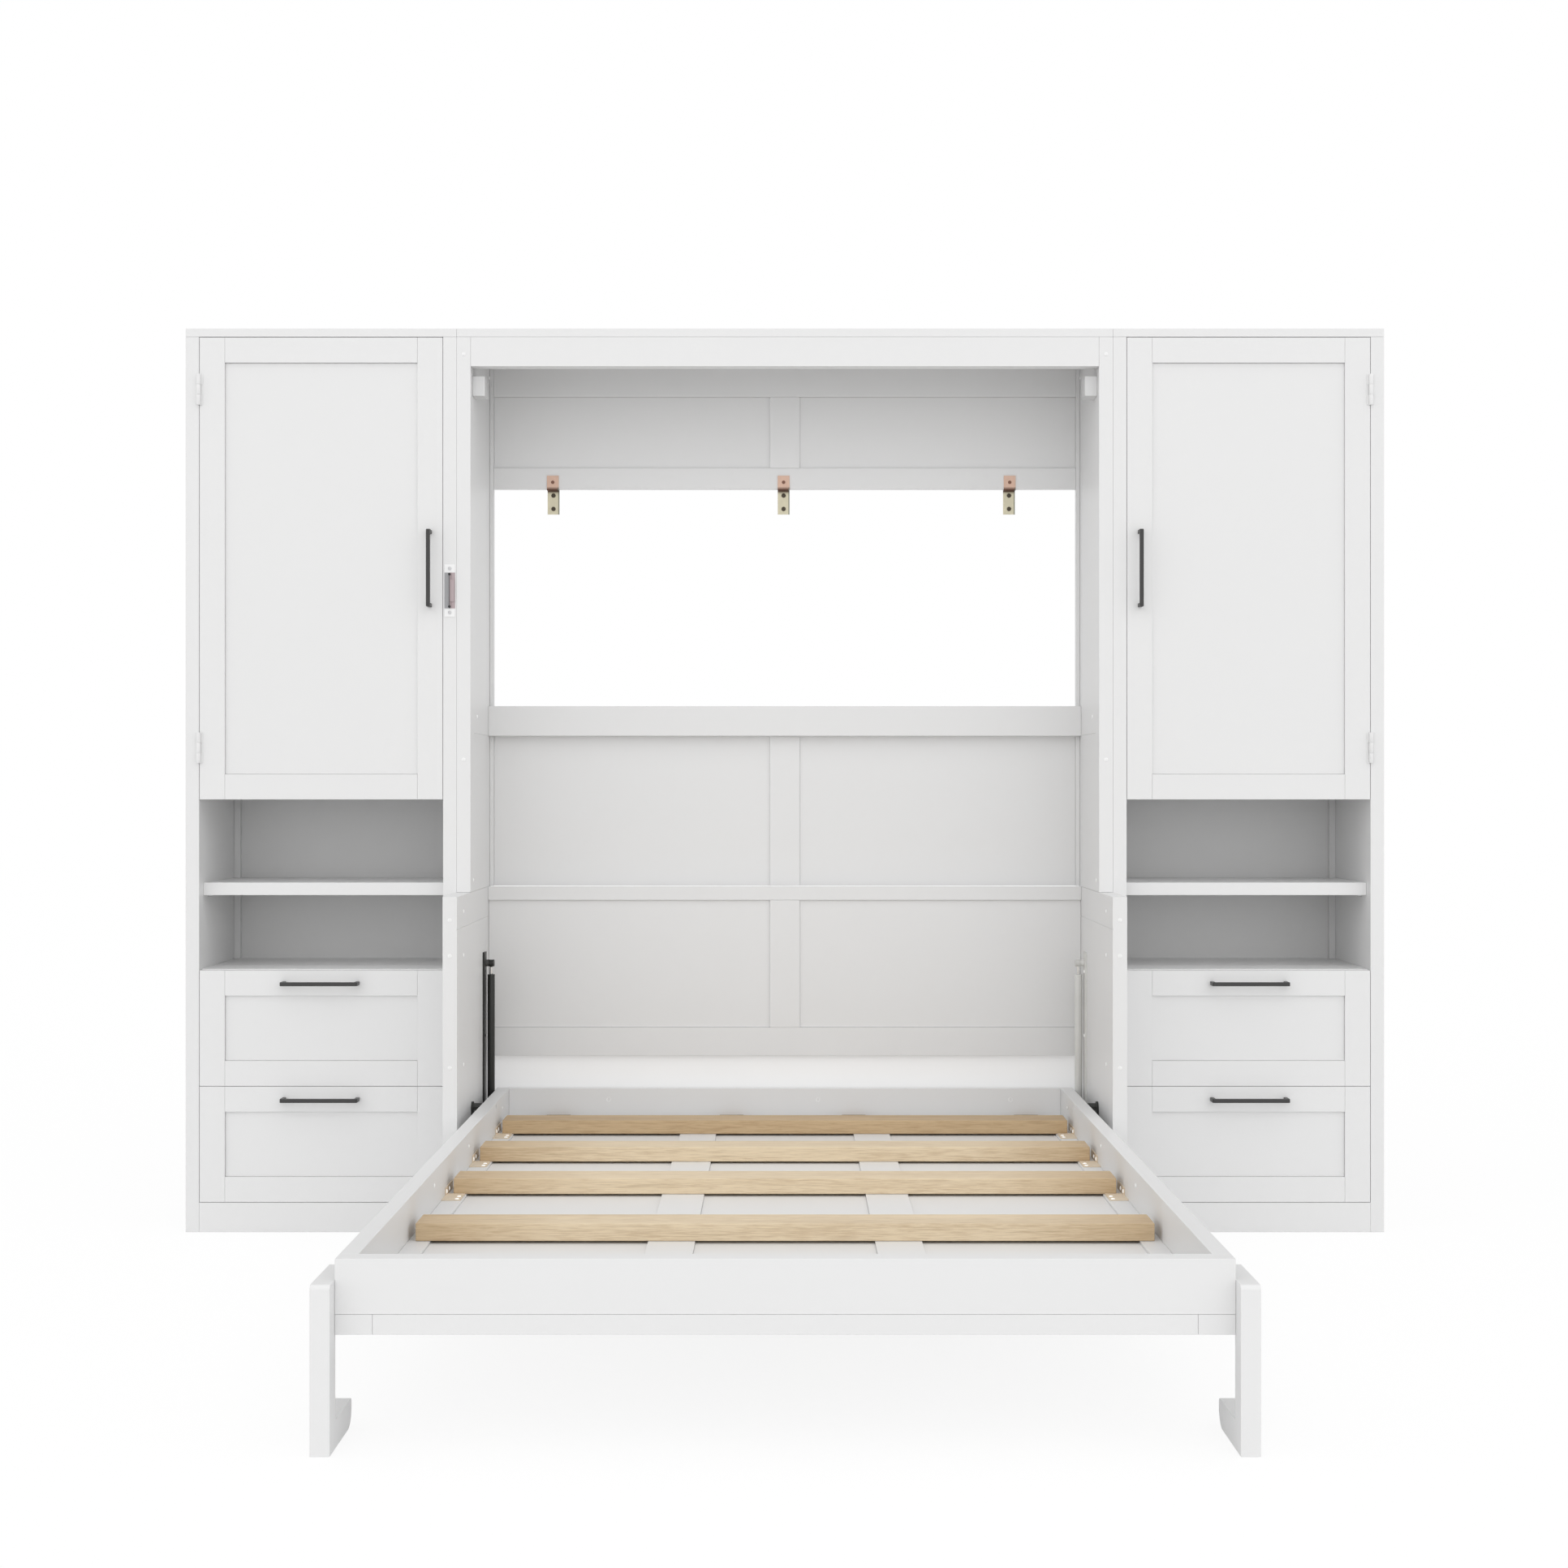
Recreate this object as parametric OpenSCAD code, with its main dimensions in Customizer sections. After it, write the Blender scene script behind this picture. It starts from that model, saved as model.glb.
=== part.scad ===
// Wall bed between two storage towers, bed lowered on its legs.
// Y = 0 of the working frame is the towers' front plane, +Y runs to the wall.
// placed() then moves everything so that the whole part is centred on the origin.

/* [Overall] */
// Height of the cabinets
cabinet_h = 2155; // [2080:1:2250]
// Depth of the cabinets, front plane to wall
cabinet_d = 356; // [335:1:364]
// Width of one storage tower
tower_w = 646; // [560:1:760]
// Width of the middle unit that holds the bed
centre_w = 1565; // [1545:1:1600]

/* [Boards] */
// Thickness of the towers' side boards
tower_side_t = 32; // [18:1:36]
// Thickness of the middle unit's side boards
centre_side_t = 33; // [25:1:36]
// Thickness of the top boards
top_t = 20; // [16:1:30]
// Thickness of the fixed shelves
shelf_t = 20; // [16:1:25]
// Thickness of the loose shelves
loose_shelf_t = 30; // [18:1:32]
// Thickness of the towers' back boards
back_t = 8; // [4:1:12]
// Thickness of doors and drawer fronts
front_t = 20; // [18:1:25]
// Open joint between neighbouring boards
seam = 0.4; // [0.2:0.1:0.8]
// Gap round doors and drawer fronts
front_gap = 1.2; // [0.8:0.1:3]
// Room between the towers' back boards and the wall
back_inset = 4; // [1:0.5:8]

/* [Towers] */
// Height of the plinth
plinth_h = 72; // [50:1:110]
// Height of one drawer front with its gap
drawer_pitch = 276.6; // [230:0.1:290]
// Underside of the wardrobe floor above the niche
niche_top = 1034; // [980:1:1080]
// Underside of the loose shelf in the niche
niche_shelf_z = 802; // [760:1:860]
// How far loose shelves stand back from the front
shelf_setback = 38; // [25:1:60]
// Number of loose shelves behind each door
wardrobe_shelves = 2; // [1:1:3]
// How far the niche floor stands over the upper drawer's top edge
niche_floor_lift = 1; // [0:0.5:2]
// Width of the rear corner strips
corner_strip = 16; // [8:1:22]

/* [Doors and drawer fronts] */
// Width of stiles and rails
rail_w = 60; // [45:1:75]
// How far panels lie behind their frame
panel_recess = 6; // [3:1:9]
// Thickness of the panels
panel_t = 9; // [6:1:11]
// How far a door reaches below the underside of the wardrobe floor
door_drop = 2; // [0:0.5:4]

/* [Handles] */
// Length of a handle bar
handle_len = 184; // [120:1:240]
// Side of the square handle bar
handle_bar = 9; // [7:0.5:14]
// Clear finger gap behind a handle bar
handle_gap = 25; // [20:1:40]
// Side of the square cut off a handle bar's outer corners
handle_bevel = 4; // [2:0.5:6]
// Height of the middle of the door handles
door_handle_z = 1582; // [1400:1:1800]

/* [Door hinges] */
// Length of a hinge
hinge_len = 73; // [50:1:100]
// Radius of a hinge knuckle
hinge_r = 5; // [4:0.5:6]
// Radius of a hinge pin
hinge_pin_r = 2; // [1.5:0.1:2.5]
// Width of a hinge leaf
hinge_leaf_w = 8; // [7:1:16]
// Thickness of a hinge leaf
hinge_leaf_t = 1.2; // [1:0.1:2]
// Middle of a door's lower hinge above the underside of the wardrobe floor
low_hinge_lift = 121; // [60:1:200]
// Middle of a door's upper hinge below the top board
high_hinge_drop = 126; // [60:1:200]

/* [Drawers] */
// Height of a drawer box
box_h = 190; // [120:1:200]
// Room behind a drawer box
box_back_room = 23.6; // [5:0.1:60]
// Height of a drawer box over the lower edge of its front
box_lift = 35; // [25:1:45]
// Thickness of a drawer box's floor
box_floor_t = 6; // [4:1:9]
// Thickness of a drawer box's walls
box_t = 12; // [9:1:16]
// Room for the runners on each side of a drawer box
runner_gap = 13; // [12.5:0.5:16]
// Thickness of the cabinet half of a runner
runner_t = 9; // [7:0.5:9.5]
// Height of a runner
runner_h = 35; // [25:1:45]
// How far runners end short of the drawer box's ends
runner_short = 5; // [2:1:20]

/* [Middle unit] */
// Height where the upper module stands on the lower module
split_h = 810; // [760:1:860]
// How far the lower side boards stand out in front
lower_reach = 215; // [150:1:260]
// Height of the header board
header_h = 70; // [50:1:90]
// Thickness of the header board
header_t = 35; // [20:1:40]
// Height of the joint line across the lower sides
lower_seam_z = 736; // [700:1:750]
// Height of the joint line across the upper sides
upper_seam_z = 1191; // [1150:1:1230]
// Depth of the joint lines on the inner faces of the sides
groove_d = 1.4; // [0.5:0.1:3]
// Width of the joint lines on the inner faces of the sides
groove_w = 1.6; // [0.8:0.1:3]
// Front plane of the upper back frame from the wall
upper_back_set = 18; // [17:1:26]
// Front plane of the middle rail from the wall
mid_rail_set = 42; // [38:1:44]
// Front plane of the lower back frame from the wall
lower_back_set = 46; // [36:1:50]
// Thickness of the back frames' boards
back_board_t = 16; // [12:1:18]
// Width of the back frames' mullions
mullion_w = 74; // [50:1:100]
// Visible width of the upper back frame's stiles
back_stile_w = 10; // [8:1:40]
// Height of the upper back frame's top rail
top_rail_h = 83; // [50:1:110]
// Height of the panels over the window
upper_panel_h = 181; // [140:1:220]
// Height of the rail over the window
window_rail_h = 53; // [45:1:80]
// Top of the rail under the window
window_sill_z = 1266; // [1240:1:1300]
// Bottom of the lower back frame's top rail
lower_rail_z = 776; // [740:1:790]
// Bottom of the lower back frame's bottom rail
lower_bottom_z = 383; // [360:1:400]
// Height of the lower back frame's bottom rail
lower_bottom_h = 71; // [50:1:90]
// Top of the rear stretcher near the floor
stretcher_h = 420; // [390:1:450]
// Thickness of the rear stretcher
stretcher_t = 18; // [12:1:20]

/* [Bed] */
// Room between the bed and the cabinet's sides
bed_side_gap = 27.5; // [26:0.5:33]
// Thickness of the bed's side rails
bed_rail_t = 31; // [22:1:34]
// Thickness of the foot rail
foot_rail_t = 38; // [25:1:45]
// Thickness of the head rail
head_rail_t = 24; // [18:1:30]
// Top of the bed's rails above the floor
bed_top_z = 306; // [300:1:315]
// Height of the bed's rails
bed_rail_h = 89; // [80:1:95]
// Thickness of the bed's face frame
face_t = 32.6; // [25:0.1:40]
// Room between the raised bed and the header
header_room = 8; // [4:1:30]
// Room between the bed's head end and the lower back frame
bed_head_gap = 26; // [20:1:60]
// How far the bed's panels lie inside its face frame
bed_panel_recess = 12; // [8:1:18]
// Width of the ledges that carry the slats
ledge_w = 40; // [30:1:60]
// Width of the two long battens
batten_w = 86; // [60:1:100]
// Middle of each long batten from the bed's middle
batten_x = 208; // [150:1:260]
// Top of ledges and battens above the floor
ledge_z = 230; // [226:1:236]
// Width of a slat
slat_w = 88; // [60:1:100]
// Thickness of a slat
slat_t = 32; // [20:1:34]
// Room between a slat's end and the side rail
slat_end_gap = 14; // [5:1:25]
// Front edge of the first slat behind the towers' front plane
slat_1_y = 25; // [10:1:60]
// Front edge of the second slat
slat_2_y = -360; // [-420:1:-300]
// Front edge of the third slat
slat_3_y = -745; // [-820:1:-660]
// Front edge of the fourth slat
slat_4_y = -1205; // [-1300:1:-1100]
// Depth of the floor boards' tops below the slats' undersides
floor_drop = 5; // [3:1:8]
// Thickness of the floor boards under the slats
floor_t = 6; // [4:1:6]
// Width of an angle bracket's leg on the ledge
angle_w = 38; // [34:1:39]
// Height of an angle bracket's leg on the rail
angle_rise = 17; // [13:1:26]
// How far an angle bracket reaches in front of its slat
angle_front = 70; // [60:1:90]
// How far an angle bracket reaches back beside its slat
angle_back = 70; // [50:1:80]
// Thickness of a slat's angle bracket
angle_t = 2; // [1.5:0.5:2.5]
// Radius of the holes in a slat's angle bracket
angle_hole_r = 2.2; // [1.5:0.1:3]
// Width of the wood blocks along the head rail
head_block_w = 60; // [30:1:80]
// Depth of the wood blocks along the head rail
head_block_d = 24; // [15:1:30]
// Height of the wood blocks above the ledges
head_block_lift = 11; // [4:1:20]
// Middle of the first wood block across the bed
head_block_1_x = -566; // [-600:1:-500]
// Middle of the second wood block
head_block_2_x = -133; // [-160:1:-100]
// Middle of the third wood block
head_block_3_x = 172; // [140:1:220]
// Middle of the fourth wood block
head_block_4_x = 604; // [560:1:610]

/* [Legs] */
// Thickness of a leg
leg_t = 32; // [25:1:34]
// Depth of a leg's upright
leg_post_d = 45; // [35:1:60]
// How far a leg stands in front of the foot rail
leg_lead = 38; // [30:1:50]
// Top of the legs above the floor
leg_top_z = 272; // [250:1:272]
// Depth of the arm at the top of a leg
leg_arm_d = 160; // [120:1:200]
// Height of the arm at the top of a leg
leg_arm_h = 60; // [45:1:80]
// Depth of the foot of a leg
leg_foot_d = 176; // [130:1:200]
// Height of the foot of a leg
leg_foot_h = 46; // [40:1:60]
// Radius under the back of the foot
leg_toe_r = 30; // [10:1:38]
// Radius over the back of the foot
leg_heel_r = 8; // [3:1:10]
// Radius of the corners at the top of the leg
leg_corner_r = 8; // [4:1:10]

/* [Fold mechanism] */
// Bed pivot behind the towers' front plane
pivot_y = 20; // [16:1:22]
// Bed pivot above the floor
pivot_z = 296; // [294:1:298]
// Radius of the pivot pins
pivot_r = 6; // [5:0.5:7]
// Running clearance of the pins, on the radius
pin_clear = 0.05; // [0.02:0.01:0.1]
// Thickness of the steel plates on the cabinet sides
plate_t = 5; // [4:0.5:5]
// Gap kept between bed and stops, plates and struts
play = 0.4; // [0.3:0.1:0.8]
// Width of a stop block
stop_w = 30; // [29:1:36]
// Depth of a stop block
stop_d = 57; // [40:1:70]
// Height of a stop block
stop_h = 47; // [35:1:70]
// Top of the stop blocks below the top board
stop_drop = 88; // [75:1:90]
// Radius of the head of the pivot plate
pivot_plate_r = 13; // [12:1:20]
// How far the pivot plate reaches below the pivot
pivot_plate_drop = 100; // [60:1:140]
// Width of the pivot plate's lower end
pivot_foot_w = 26; // [20:1:40]
// Height of the straight part of the pivot plate's lower end
pivot_foot_h = 10; // [6:1:20]
// How much wider than the pin the collar beside the rail is, on the radius
pivot_collar = 3; // [2:0.5:5]
// How far the pin ends short of the rail's inner face
pivot_short = 6; // [3:1:12]

/* [Gas struts] */
// Studs in front of the bed's head end
strut_set = 48; // [40:1:54]
// Upper stud above the floor
strut_top_z = 623; // [600:1:640]
// Lower stud above the floor
strut_low_z = 250; // [240:1:262]
// Radius of a strut's cylinder
strut_r = 9; // [7:0.5:9]
// Radius of a strut's rod
rod_r = 4; // [3:0.5:4.5]
// Radius of a strut's end eyes
eye_r = 8.5; // [8:0.5:9]
// Radius of the studs
stud_r = 5; // [4:0.5:6]
// Width of the strut plates
strut_plate_w = 37; // [32:1:60]
// How far the strut plates reach behind the line of the strut
strut_plate_back = 9; // [8:1:14]
// Room between a strut's cylinder and the bed's side rail
strut_room = 1; // [0.5:0.5:3]
// How far the strut plates reach above the upper stud
strut_plate_up = 28; // [20:1:36]
// How far the strut plates reach below the lower stud
strut_plate_down = 30; // [20:1:40]
// Radius of the holes in the strut plates
plate_hole_r = 3; // [2:0.5:4]
// Holes in the strut plates in front of the line of the strut
plate_hole_set = 16; // [12:1:20]
// Upper hole below the upper stud
plate_hole_drop = 20; // [15:1:60]
// Middle hole above the lower stud
plate_hole_lift = 194; // [90:1:240]
// Length of the rod from the upper stud
rod_len = 283; // [240:1:300]
// Start of the cylinder below the upper stud
tube_start = 28.3; // [20:0.1:40]
// End of the cylinder above the lower stud
tube_foot = 28; // [20:1:36]
// Length of the guide at the cylinder's open end
tube_guide = 20; // [10:1:30]
// Thickness of the cylinder's end wall
tube_wall = 6; // [3:1:10]

/* [Wall brackets] */
// Width of a wall bracket
bracket_w = 30; // [25:1:40]
// Thickness of a wall bracket
bracket_t = 2.5; // [2:0.5:4]
// Length of the tab on the rail
bracket_up = 34; // [25:1:40]
// Length of the tab on the wall
bracket_down = 62; // [55:1:80]
// Radius of the screw holes
bracket_hole_r = 2.75; // [2:0.05:3.5]
// Spacing of the two wall screws
bracket_pitch = 34; // [25:1:40]
// Middle of the left wall bracket across the part
left_bracket_x = -589; // [-640:1:-540]
// Middle of the middle wall bracket
middle_bracket_x = -3; // [-19:1:19]
// Middle of the right wall bracket
right_bracket_x = 571; // [530:1:640]

/* [Desk] */
// Width of the fold-down desk top
desk_w = 1040; // [980:1:1200]
// Depth of the desk top
desk_d = 450; // [350:1:500]
// Thickness of the desk top and its arms
desk_t = 18; // [15:1:22]
// Height of the desk when the bed is up
desk_z = 750; // [700:1:780]
// Length of a desk arm
desk_arm_len = 314; // [250:1:340]
// Height of a desk arm
desk_arm_h = 250; // [200:1:280]
// Middle of each desk arm's hinge from the middle
desk_arm_x = 400; // [380:1:400]
// Desk hinge's axis in front of the bed's face
desk_axis_drop = 22; // [21:0.5:26]
// Middle of the outer desk hinges from the middle
desk_hinge_reach = 460; // [380:1:480]

/* [Latch] */
// Width of the latch plate
latch_w = 25; // [20:1:28]
// Length of the latch plate
latch_len = 125; // [100:1:140]
// Height of the middle of the latch
latch_z = 1530; // [1480:1:1560]
// Middle of the latch's screw holes from its ends
latch_hole_in = 10; // [7:1:14]
// Radius of the latch's screw holes
latch_hole_r = 2.2; // [1.5:0.1:3]

/* [Hidden] */
$fn = 48;
// Roundness of small holes and pins
small_fn = 24;
// Room between a running face and its neighbour
running_gap = 0.3;
total_w = 2 * tower_w + centre_w + 2 * seam;
carcass_top = cabinet_h - top_t;
header_z = carcass_top - header_h;
bed_reach = header_z - header_room - pivot_z - pivot_y - leg_lead;
front_reach = bed_reach + leg_lead;
shift_y = (front_reach - cabinet_d) / 2;
centre_half = centre_w / 2;
centre_inner = centre_half - centre_side_t;
tower_near = centre_half + seam;
tower_far = tower_near + tower_w;
bay_near = tower_near + tower_side_t;
bay_far = tower_far - tower_side_t;
bay_mid = (bay_near + bay_far) / 2;
back_face_y = cabinet_d - back_inset - back_t;
drawers_top = plinth_h + 2 * drawer_pitch;
niche_floor_z = drawers_top - shelf_t + niche_floor_lift;
wardrobe_z = niche_top + shelf_t;
shelf_room = (carcass_top - wardrobe_z - wardrobe_shelves * loose_shelf_t) / (wardrobe_shelves + 1);
shelf_pitch = shelf_room + loose_shelf_t;
door_shelf_z = [for (i = [0 : wardrobe_shelves - 1]) wardrobe_z + shelf_room + i * shelf_pitch];
hinge_z = [niche_top + low_hinge_lift, carcass_top - high_hinge_drop];
box_d = back_face_y - front_t - seam - box_back_room;
upper_back_y = cabinet_d - upper_back_set;
mid_rail_y = cabinet_d - mid_rail_set;
lower_back_y = cabinet_d - lower_back_set;
top_rail_z = carcass_top - top_rail_h;
upper_panel_z = top_rail_z - upper_panel_h;
window_rail_z = upper_panel_z - window_rail_h;
bed_half_w = centre_inner - bed_side_gap;
bed_head_y = lower_back_y - bed_head_gap;
strut_y = bed_head_y - strut_set;
bed_rail_bottom = bed_top_z - bed_rail_h;
face_top = bed_rail_bottom - seam;
face_z = face_top - face_t;
bed_inner = bed_half_w - bed_rail_t;
ledge_x = bed_inner - seam - ledge_w;
foot_y = -bed_reach;
foot_inner_y = foot_y + foot_rail_t;
head_inner_y = bed_head_y - head_rail_t;
floor_top = ledge_z + seam - floor_drop;
panel_z = face_z + bed_panel_recess;
panel_top = panel_z + panel_t;
leg_front_y = foot_y - leg_lead;
stop_y = pivot_y + bed_top_z - pivot_z + play;
plate_x = centre_inner - plate_t;
strut_x = bed_half_w + strut_room + strut_r;
strut_len = strut_top_z - strut_low_z;
eye_w = 10;
low_eye_w = eye_w + 4;
stud_head_t = 2.5;
tube_bore_r = (strut_r + rod_r) / 2;
tube_end = strut_len - tube_foot;
desk_axis_y = pivot_y + pivot_z - desk_z;
desk_axis_z = face_z - desk_axis_drop;
desk_hinge_x = [-desk_hinge_reach, 0, desk_hinge_reach];
desk_hinge_half = 30;
desk_knuckle_half = 10;
desk_knuckle_r = 4.5;
desk_leaf_z = 1.6;
desk_board_z = 3.6;
desk_board_y = 6;
desk_arm_y0 = desk_axis_y - 3.2;
arm_hinge_y = [desk_arm_y0 + desk_arm_h * 0.3, desk_arm_y0 + desk_arm_h * 0.8];
slat_y = [slat_1_y, slat_2_y, slat_3_y, slat_4_y];
head_block_x = [head_block_1_x, head_block_2_x, head_block_3_x, head_block_4_x];
bracket_x = [left_bracket_x, middle_bracket_x, right_bracket_x];
plate_hole_z = [strut_top_z - plate_hole_drop, strut_low_z + plate_hole_lift, strut_low_z];
latch_x = -(tower_near + tower_side_t / 2);
latch_t = 1.5;
latch_r = 2.4;
latch_pin_r = 1.2;
latch_axis_y = -(latch_t + latch_r + running_gap);
latch_knuckle_z = 22;
latch_knuckle_h = 14;

// Colours
white = [0.92, 0.92, 0.92];
oak = [0.80, 0.68, 0.50];
charcoal = [0.28, 0.28, 0.29];
black_steel = [0.10, 0.10, 0.10];
steel = [0.62, 0.62, 0.63];
pale_steel = [0.85, 0.85, 0.85];
brass = [0.78, 0.66, 0.48];
brown = [0.55, 0.47, 0.38];

// Moves the working frame so that the part's middle lies on the origin
module placed() {
    translate([0, shift_y, 0]) children();
}

// A box from its low corner to its high corner
module board(low, high) {
    translate(low) cube(high - low);
}

// The left tower's copy of a right-hand piece
module left() {
    mirror([1, 0, 0]) children();
}

// A piece and its mirror image across the middle
module both_sides() {
    children();
    left() children();
}

// A round bar along X, from x0 to x1
module bar_x(x0, x1, y, z, r) {
    translate([x0, y, z]) rotate([0, 90, 0]) cylinder(h = x1 - x0, r = r);
}

// A round hole along Y through y0 to y1
module hole_y(x, y0, y1, z, r) {
    translate([x, y1, z]) rotate([90, 0, 0]) cylinder(h = y1 - y0, r = r, $fn = small_fn);
}

// ---- Frame-and-panel fronts ----

// Two stiles, two rails and a sunk panel, facing -Y, with open joints
module framed_front(x0, x1, z0, z1, y0) {
    y1 = y0 + front_t;
    board([x0, y0, z0], [x0 + rail_w, y1, z1]);
    board([x1 - rail_w, y0, z0], [x1, y1, z1]);
    inner0 = x0 + rail_w + seam;
    inner1 = x1 - rail_w - seam;
    board([inner0, y0, z0], [inner1, y1, z0 + rail_w]);
    board([inner0, y0, z1 - rail_w], [inner1, y1, z1]);
    py = y0 + panel_recess;
    board([inner0, py, z0 + rail_w + seam], [inner1, py + panel_t, z1 - rail_w - seam]);
}

// A square bar on two posts, standing off the front plane, along X or Z
module bar_handle(x, z, upright) {
    half = handle_len / 2;
    out = handle_gap + handle_bar;
    translate([x, 0, z]) rotate([0, upright ? 90 : 0, 0]) {
        difference() {
            board([-half, -out, -handle_bar / 2], [half, -seam, handle_bar / 2]);
            translate([-half + handle_bar, -handle_gap, -handle_bar])
                cube([handle_len - 2 * handle_bar, handle_gap + 1, 2 * handle_bar]);
            // the outer corners of the bends are cut off
            for (s = [-1, 1])
                translate([s * half, -out, 0]) rotate([0, 0, 45])
                    cube([handle_bevel, handle_bevel, 2 * handle_bar], center = true);
        }
    }
}

// ---- Towers ----

module tower_top() {
    board([tower_near, 0, carcass_top + seam], [tower_far, cabinet_d, cabinet_h]);
}

module top_boards() {
    color(white) placed() {
        both_sides() tower_top();
        board([-centre_half, 0, carcass_top + seam], [centre_half, cabinet_d, cabinet_h]);
    }
}

module outer_side() {
    color(white) placed() board([bay_far, 0, 0], [tower_far, cabinet_d, carcass_top]);
}

module inner_side() {
    color(white) placed() board([tower_near, 0, 0], [bay_near, cabinet_d, carcass_top]);
}

module plinth() {
    board([bay_near + seam, 0, 0], [bay_far - seam, front_t, plinth_h - front_gap]);
}

module tower_plinths() {
    color(white) placed() both_sides() plinth();
}

// Cabinet floor, niche floor and wardrobe floor
module fixed_shelves() {
    color(white) placed()
        for (z = [plinth_h, niche_floor_z, niche_top])
            board([bay_near + seam, front_t + seam, z], [bay_far - seam, back_face_y - seam, z + shelf_t]);
}

module tower_shelves() {
    for (z = concat([niche_shelf_z], door_shelf_z))
        board([bay_near + seam, shelf_setback, z],
              [bay_far - seam, back_face_y - corner_strip - 2 * seam, z + loose_shelf_t]);
}

module loose_shelves() {
    color(white) placed() both_sides() tower_shelves();
}

// Back board, with a strip in each rear corner of the niche and the wardrobe
module tower_back() {
    board([bay_near + seam, back_face_y, 0], [bay_far - seam, back_face_y + back_t, carcass_top]);
    lows = [niche_floor_z + shelf_t, niche_top + shelf_t];
    highs = [niche_top, carcass_top];
    for (i = [0, 1])
        for (x = [bay_near + seam, bay_far - seam - corner_strip])
            board([x, back_face_y - seam - corner_strip, lows[i] + seam],
                  [x + corner_strip, back_face_y - seam, highs[i] - seam]);
}

module tower_backs() {
    color(white) placed() both_sides() tower_back();
}

module door() {
    color(white) placed()
        framed_front(bay_near + front_gap, bay_far - front_gap,
                     niche_top - door_drop, carcass_top - front_gap, 0);
}

module door_handle() {
    color(charcoal) placed()
        bar_handle(bay_near + front_gap + rail_w / 2, door_handle_z, true);
}

// Leaf on the side board's edge and the middle knuckle that turns on the pin
module frame_leaf(z) {
    third = hinge_len / 3;
    difference() {
        union() {
            board([bay_far, -hinge_leaf_t, z - third / 2], [bay_far + hinge_leaf_w, 0, z + third / 2]);
            translate([bay_far, -hinge_r, z - third / 2]) cylinder(h = third, r = hinge_r);
        }
        board([bay_far - hinge_r - 1, -hinge_leaf_t, z - hinge_len], [bay_far, 1, z + hinge_len]);
        translate([bay_far, -hinge_r, z - hinge_len / 2])
            cylinder(h = hinge_len, r = hinge_pin_r + pin_clear, $fn = small_fn);
    }
}

module hinge_frame_leaves() {
    color(white) placed() both_sides() for (z = hinge_z) frame_leaf(z);
}

// Leaf on the door's face, the two outer knuckles and the pin
module door_leaf(z) {
    third = hinge_len / 3;
    union() {
        difference() {
            for (z0 = [z - hinge_len / 2, z + third / 2 + running_gap]) {
                board([bay_far - hinge_leaf_w - front_gap, -hinge_leaf_t, z0],
                      [bay_far, -seam, z0 + third - running_gap]);
                translate([bay_far, -hinge_r, z0]) cylinder(h = third - running_gap, r = hinge_r);
            }
            board([bay_far - front_gap, -seam, z - hinge_len], [bay_far + hinge_r + 1, 1, z + hinge_len]);
        }
        translate([bay_far, -hinge_r, z - hinge_len / 2 + 1])
            cylinder(h = hinge_len - 2, r = hinge_pin_r, $fn = small_fn);
    }
}

module door_leaves() {
    color(white) placed() for (z = hinge_z) door_leaf(z);
}

// level 0 is the lower drawer, level 1 the upper one
function drawer_z(level) = plinth_h + level * drawer_pitch;

module drawer_front(level) {
    z0 = drawer_z(level);
    color(white) placed()
        framed_front(bay_near + front_gap, bay_far - front_gap, z0, z0 + drawer_pitch - front_gap, 0);
}

module drawer_handle(level) {
    z = drawer_z(level) + drawer_pitch - front_gap - rail_w / 2;
    color(charcoal) placed() bar_handle(bay_mid, z, false);
}

// Four walls, a floor and the drawer halves of the runners
module drawer_box(level) {
    x0 = bay_near + runner_gap;
    x1 = bay_far - runner_gap;
    y0 = front_t + seam;
    y1 = y0 + box_d;
    z0 = drawer_z(level) + box_lift;
    z1 = z0 + box_h;
    strip_t = runner_gap - runner_t - running_gap;
    strip_z = z0 + box_h / 2 - runner_h / 4;
    color(oak) placed() {
        board([x0, y0, z0], [x0 + box_t, y1, z1]);
        board([x1 - box_t, y0, z0], [x1, y1, z1]);
        board([x0 + box_t + seam, y0, z0], [x1 - box_t - seam, y0 + box_t, z1]);
        board([x0 + box_t + seam, y1 - box_t, z0], [x1 - box_t - seam, y1, z1]);
        board([x0 + box_t + seam, y0 + box_t + seam, z0],
              [x1 - box_t - seam, y1 - box_t - seam, z0 + box_floor_t]);
        board([x0 - strip_t, y0 + runner_short, strip_z],
              [x0 - running_gap, y1 - runner_short, strip_z + runner_h / 2]);
        board([x1 + running_gap, y0 + runner_short, strip_z],
              [x1 + strip_t, y1 - runner_short, strip_z + runner_h / 2]);
    }
}

// Cabinet halves of the runners, one pair for each drawer
module tower_runners() {
    for (level = [0, 1]) {
        z = drawer_z(level) + box_lift + box_h / 2 - runner_h / 2;
        for (x = [bay_near + seam, bay_far - seam - runner_t + seam])
            board([x, front_t + seam + runner_short, z], [x + runner_t - seam, front_t + box_d, z + runner_h]);
    }
}

module drawer_runners() {
    color(steel) placed() both_sides() tower_runners();
}

// ---- Middle unit ----

module header() {
    color(white) placed()
        board([-centre_inner + seam, 0, header_z], [centre_inner - seam, header_t, carcass_top]);
}

// Upper side board with a shallow joint line across its inner face
module upper_side() {
    color(white) placed() difference() {
        board([centre_inner, 0, split_h + seam], [centre_half, cabinet_d, carcass_top]);
        board([centre_inner - 1, rail_w, upper_seam_z - groove_w / 2],
              [centre_inner + groove_d, mid_rail_y, upper_seam_z + groove_w / 2]);
    }
}

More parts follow.
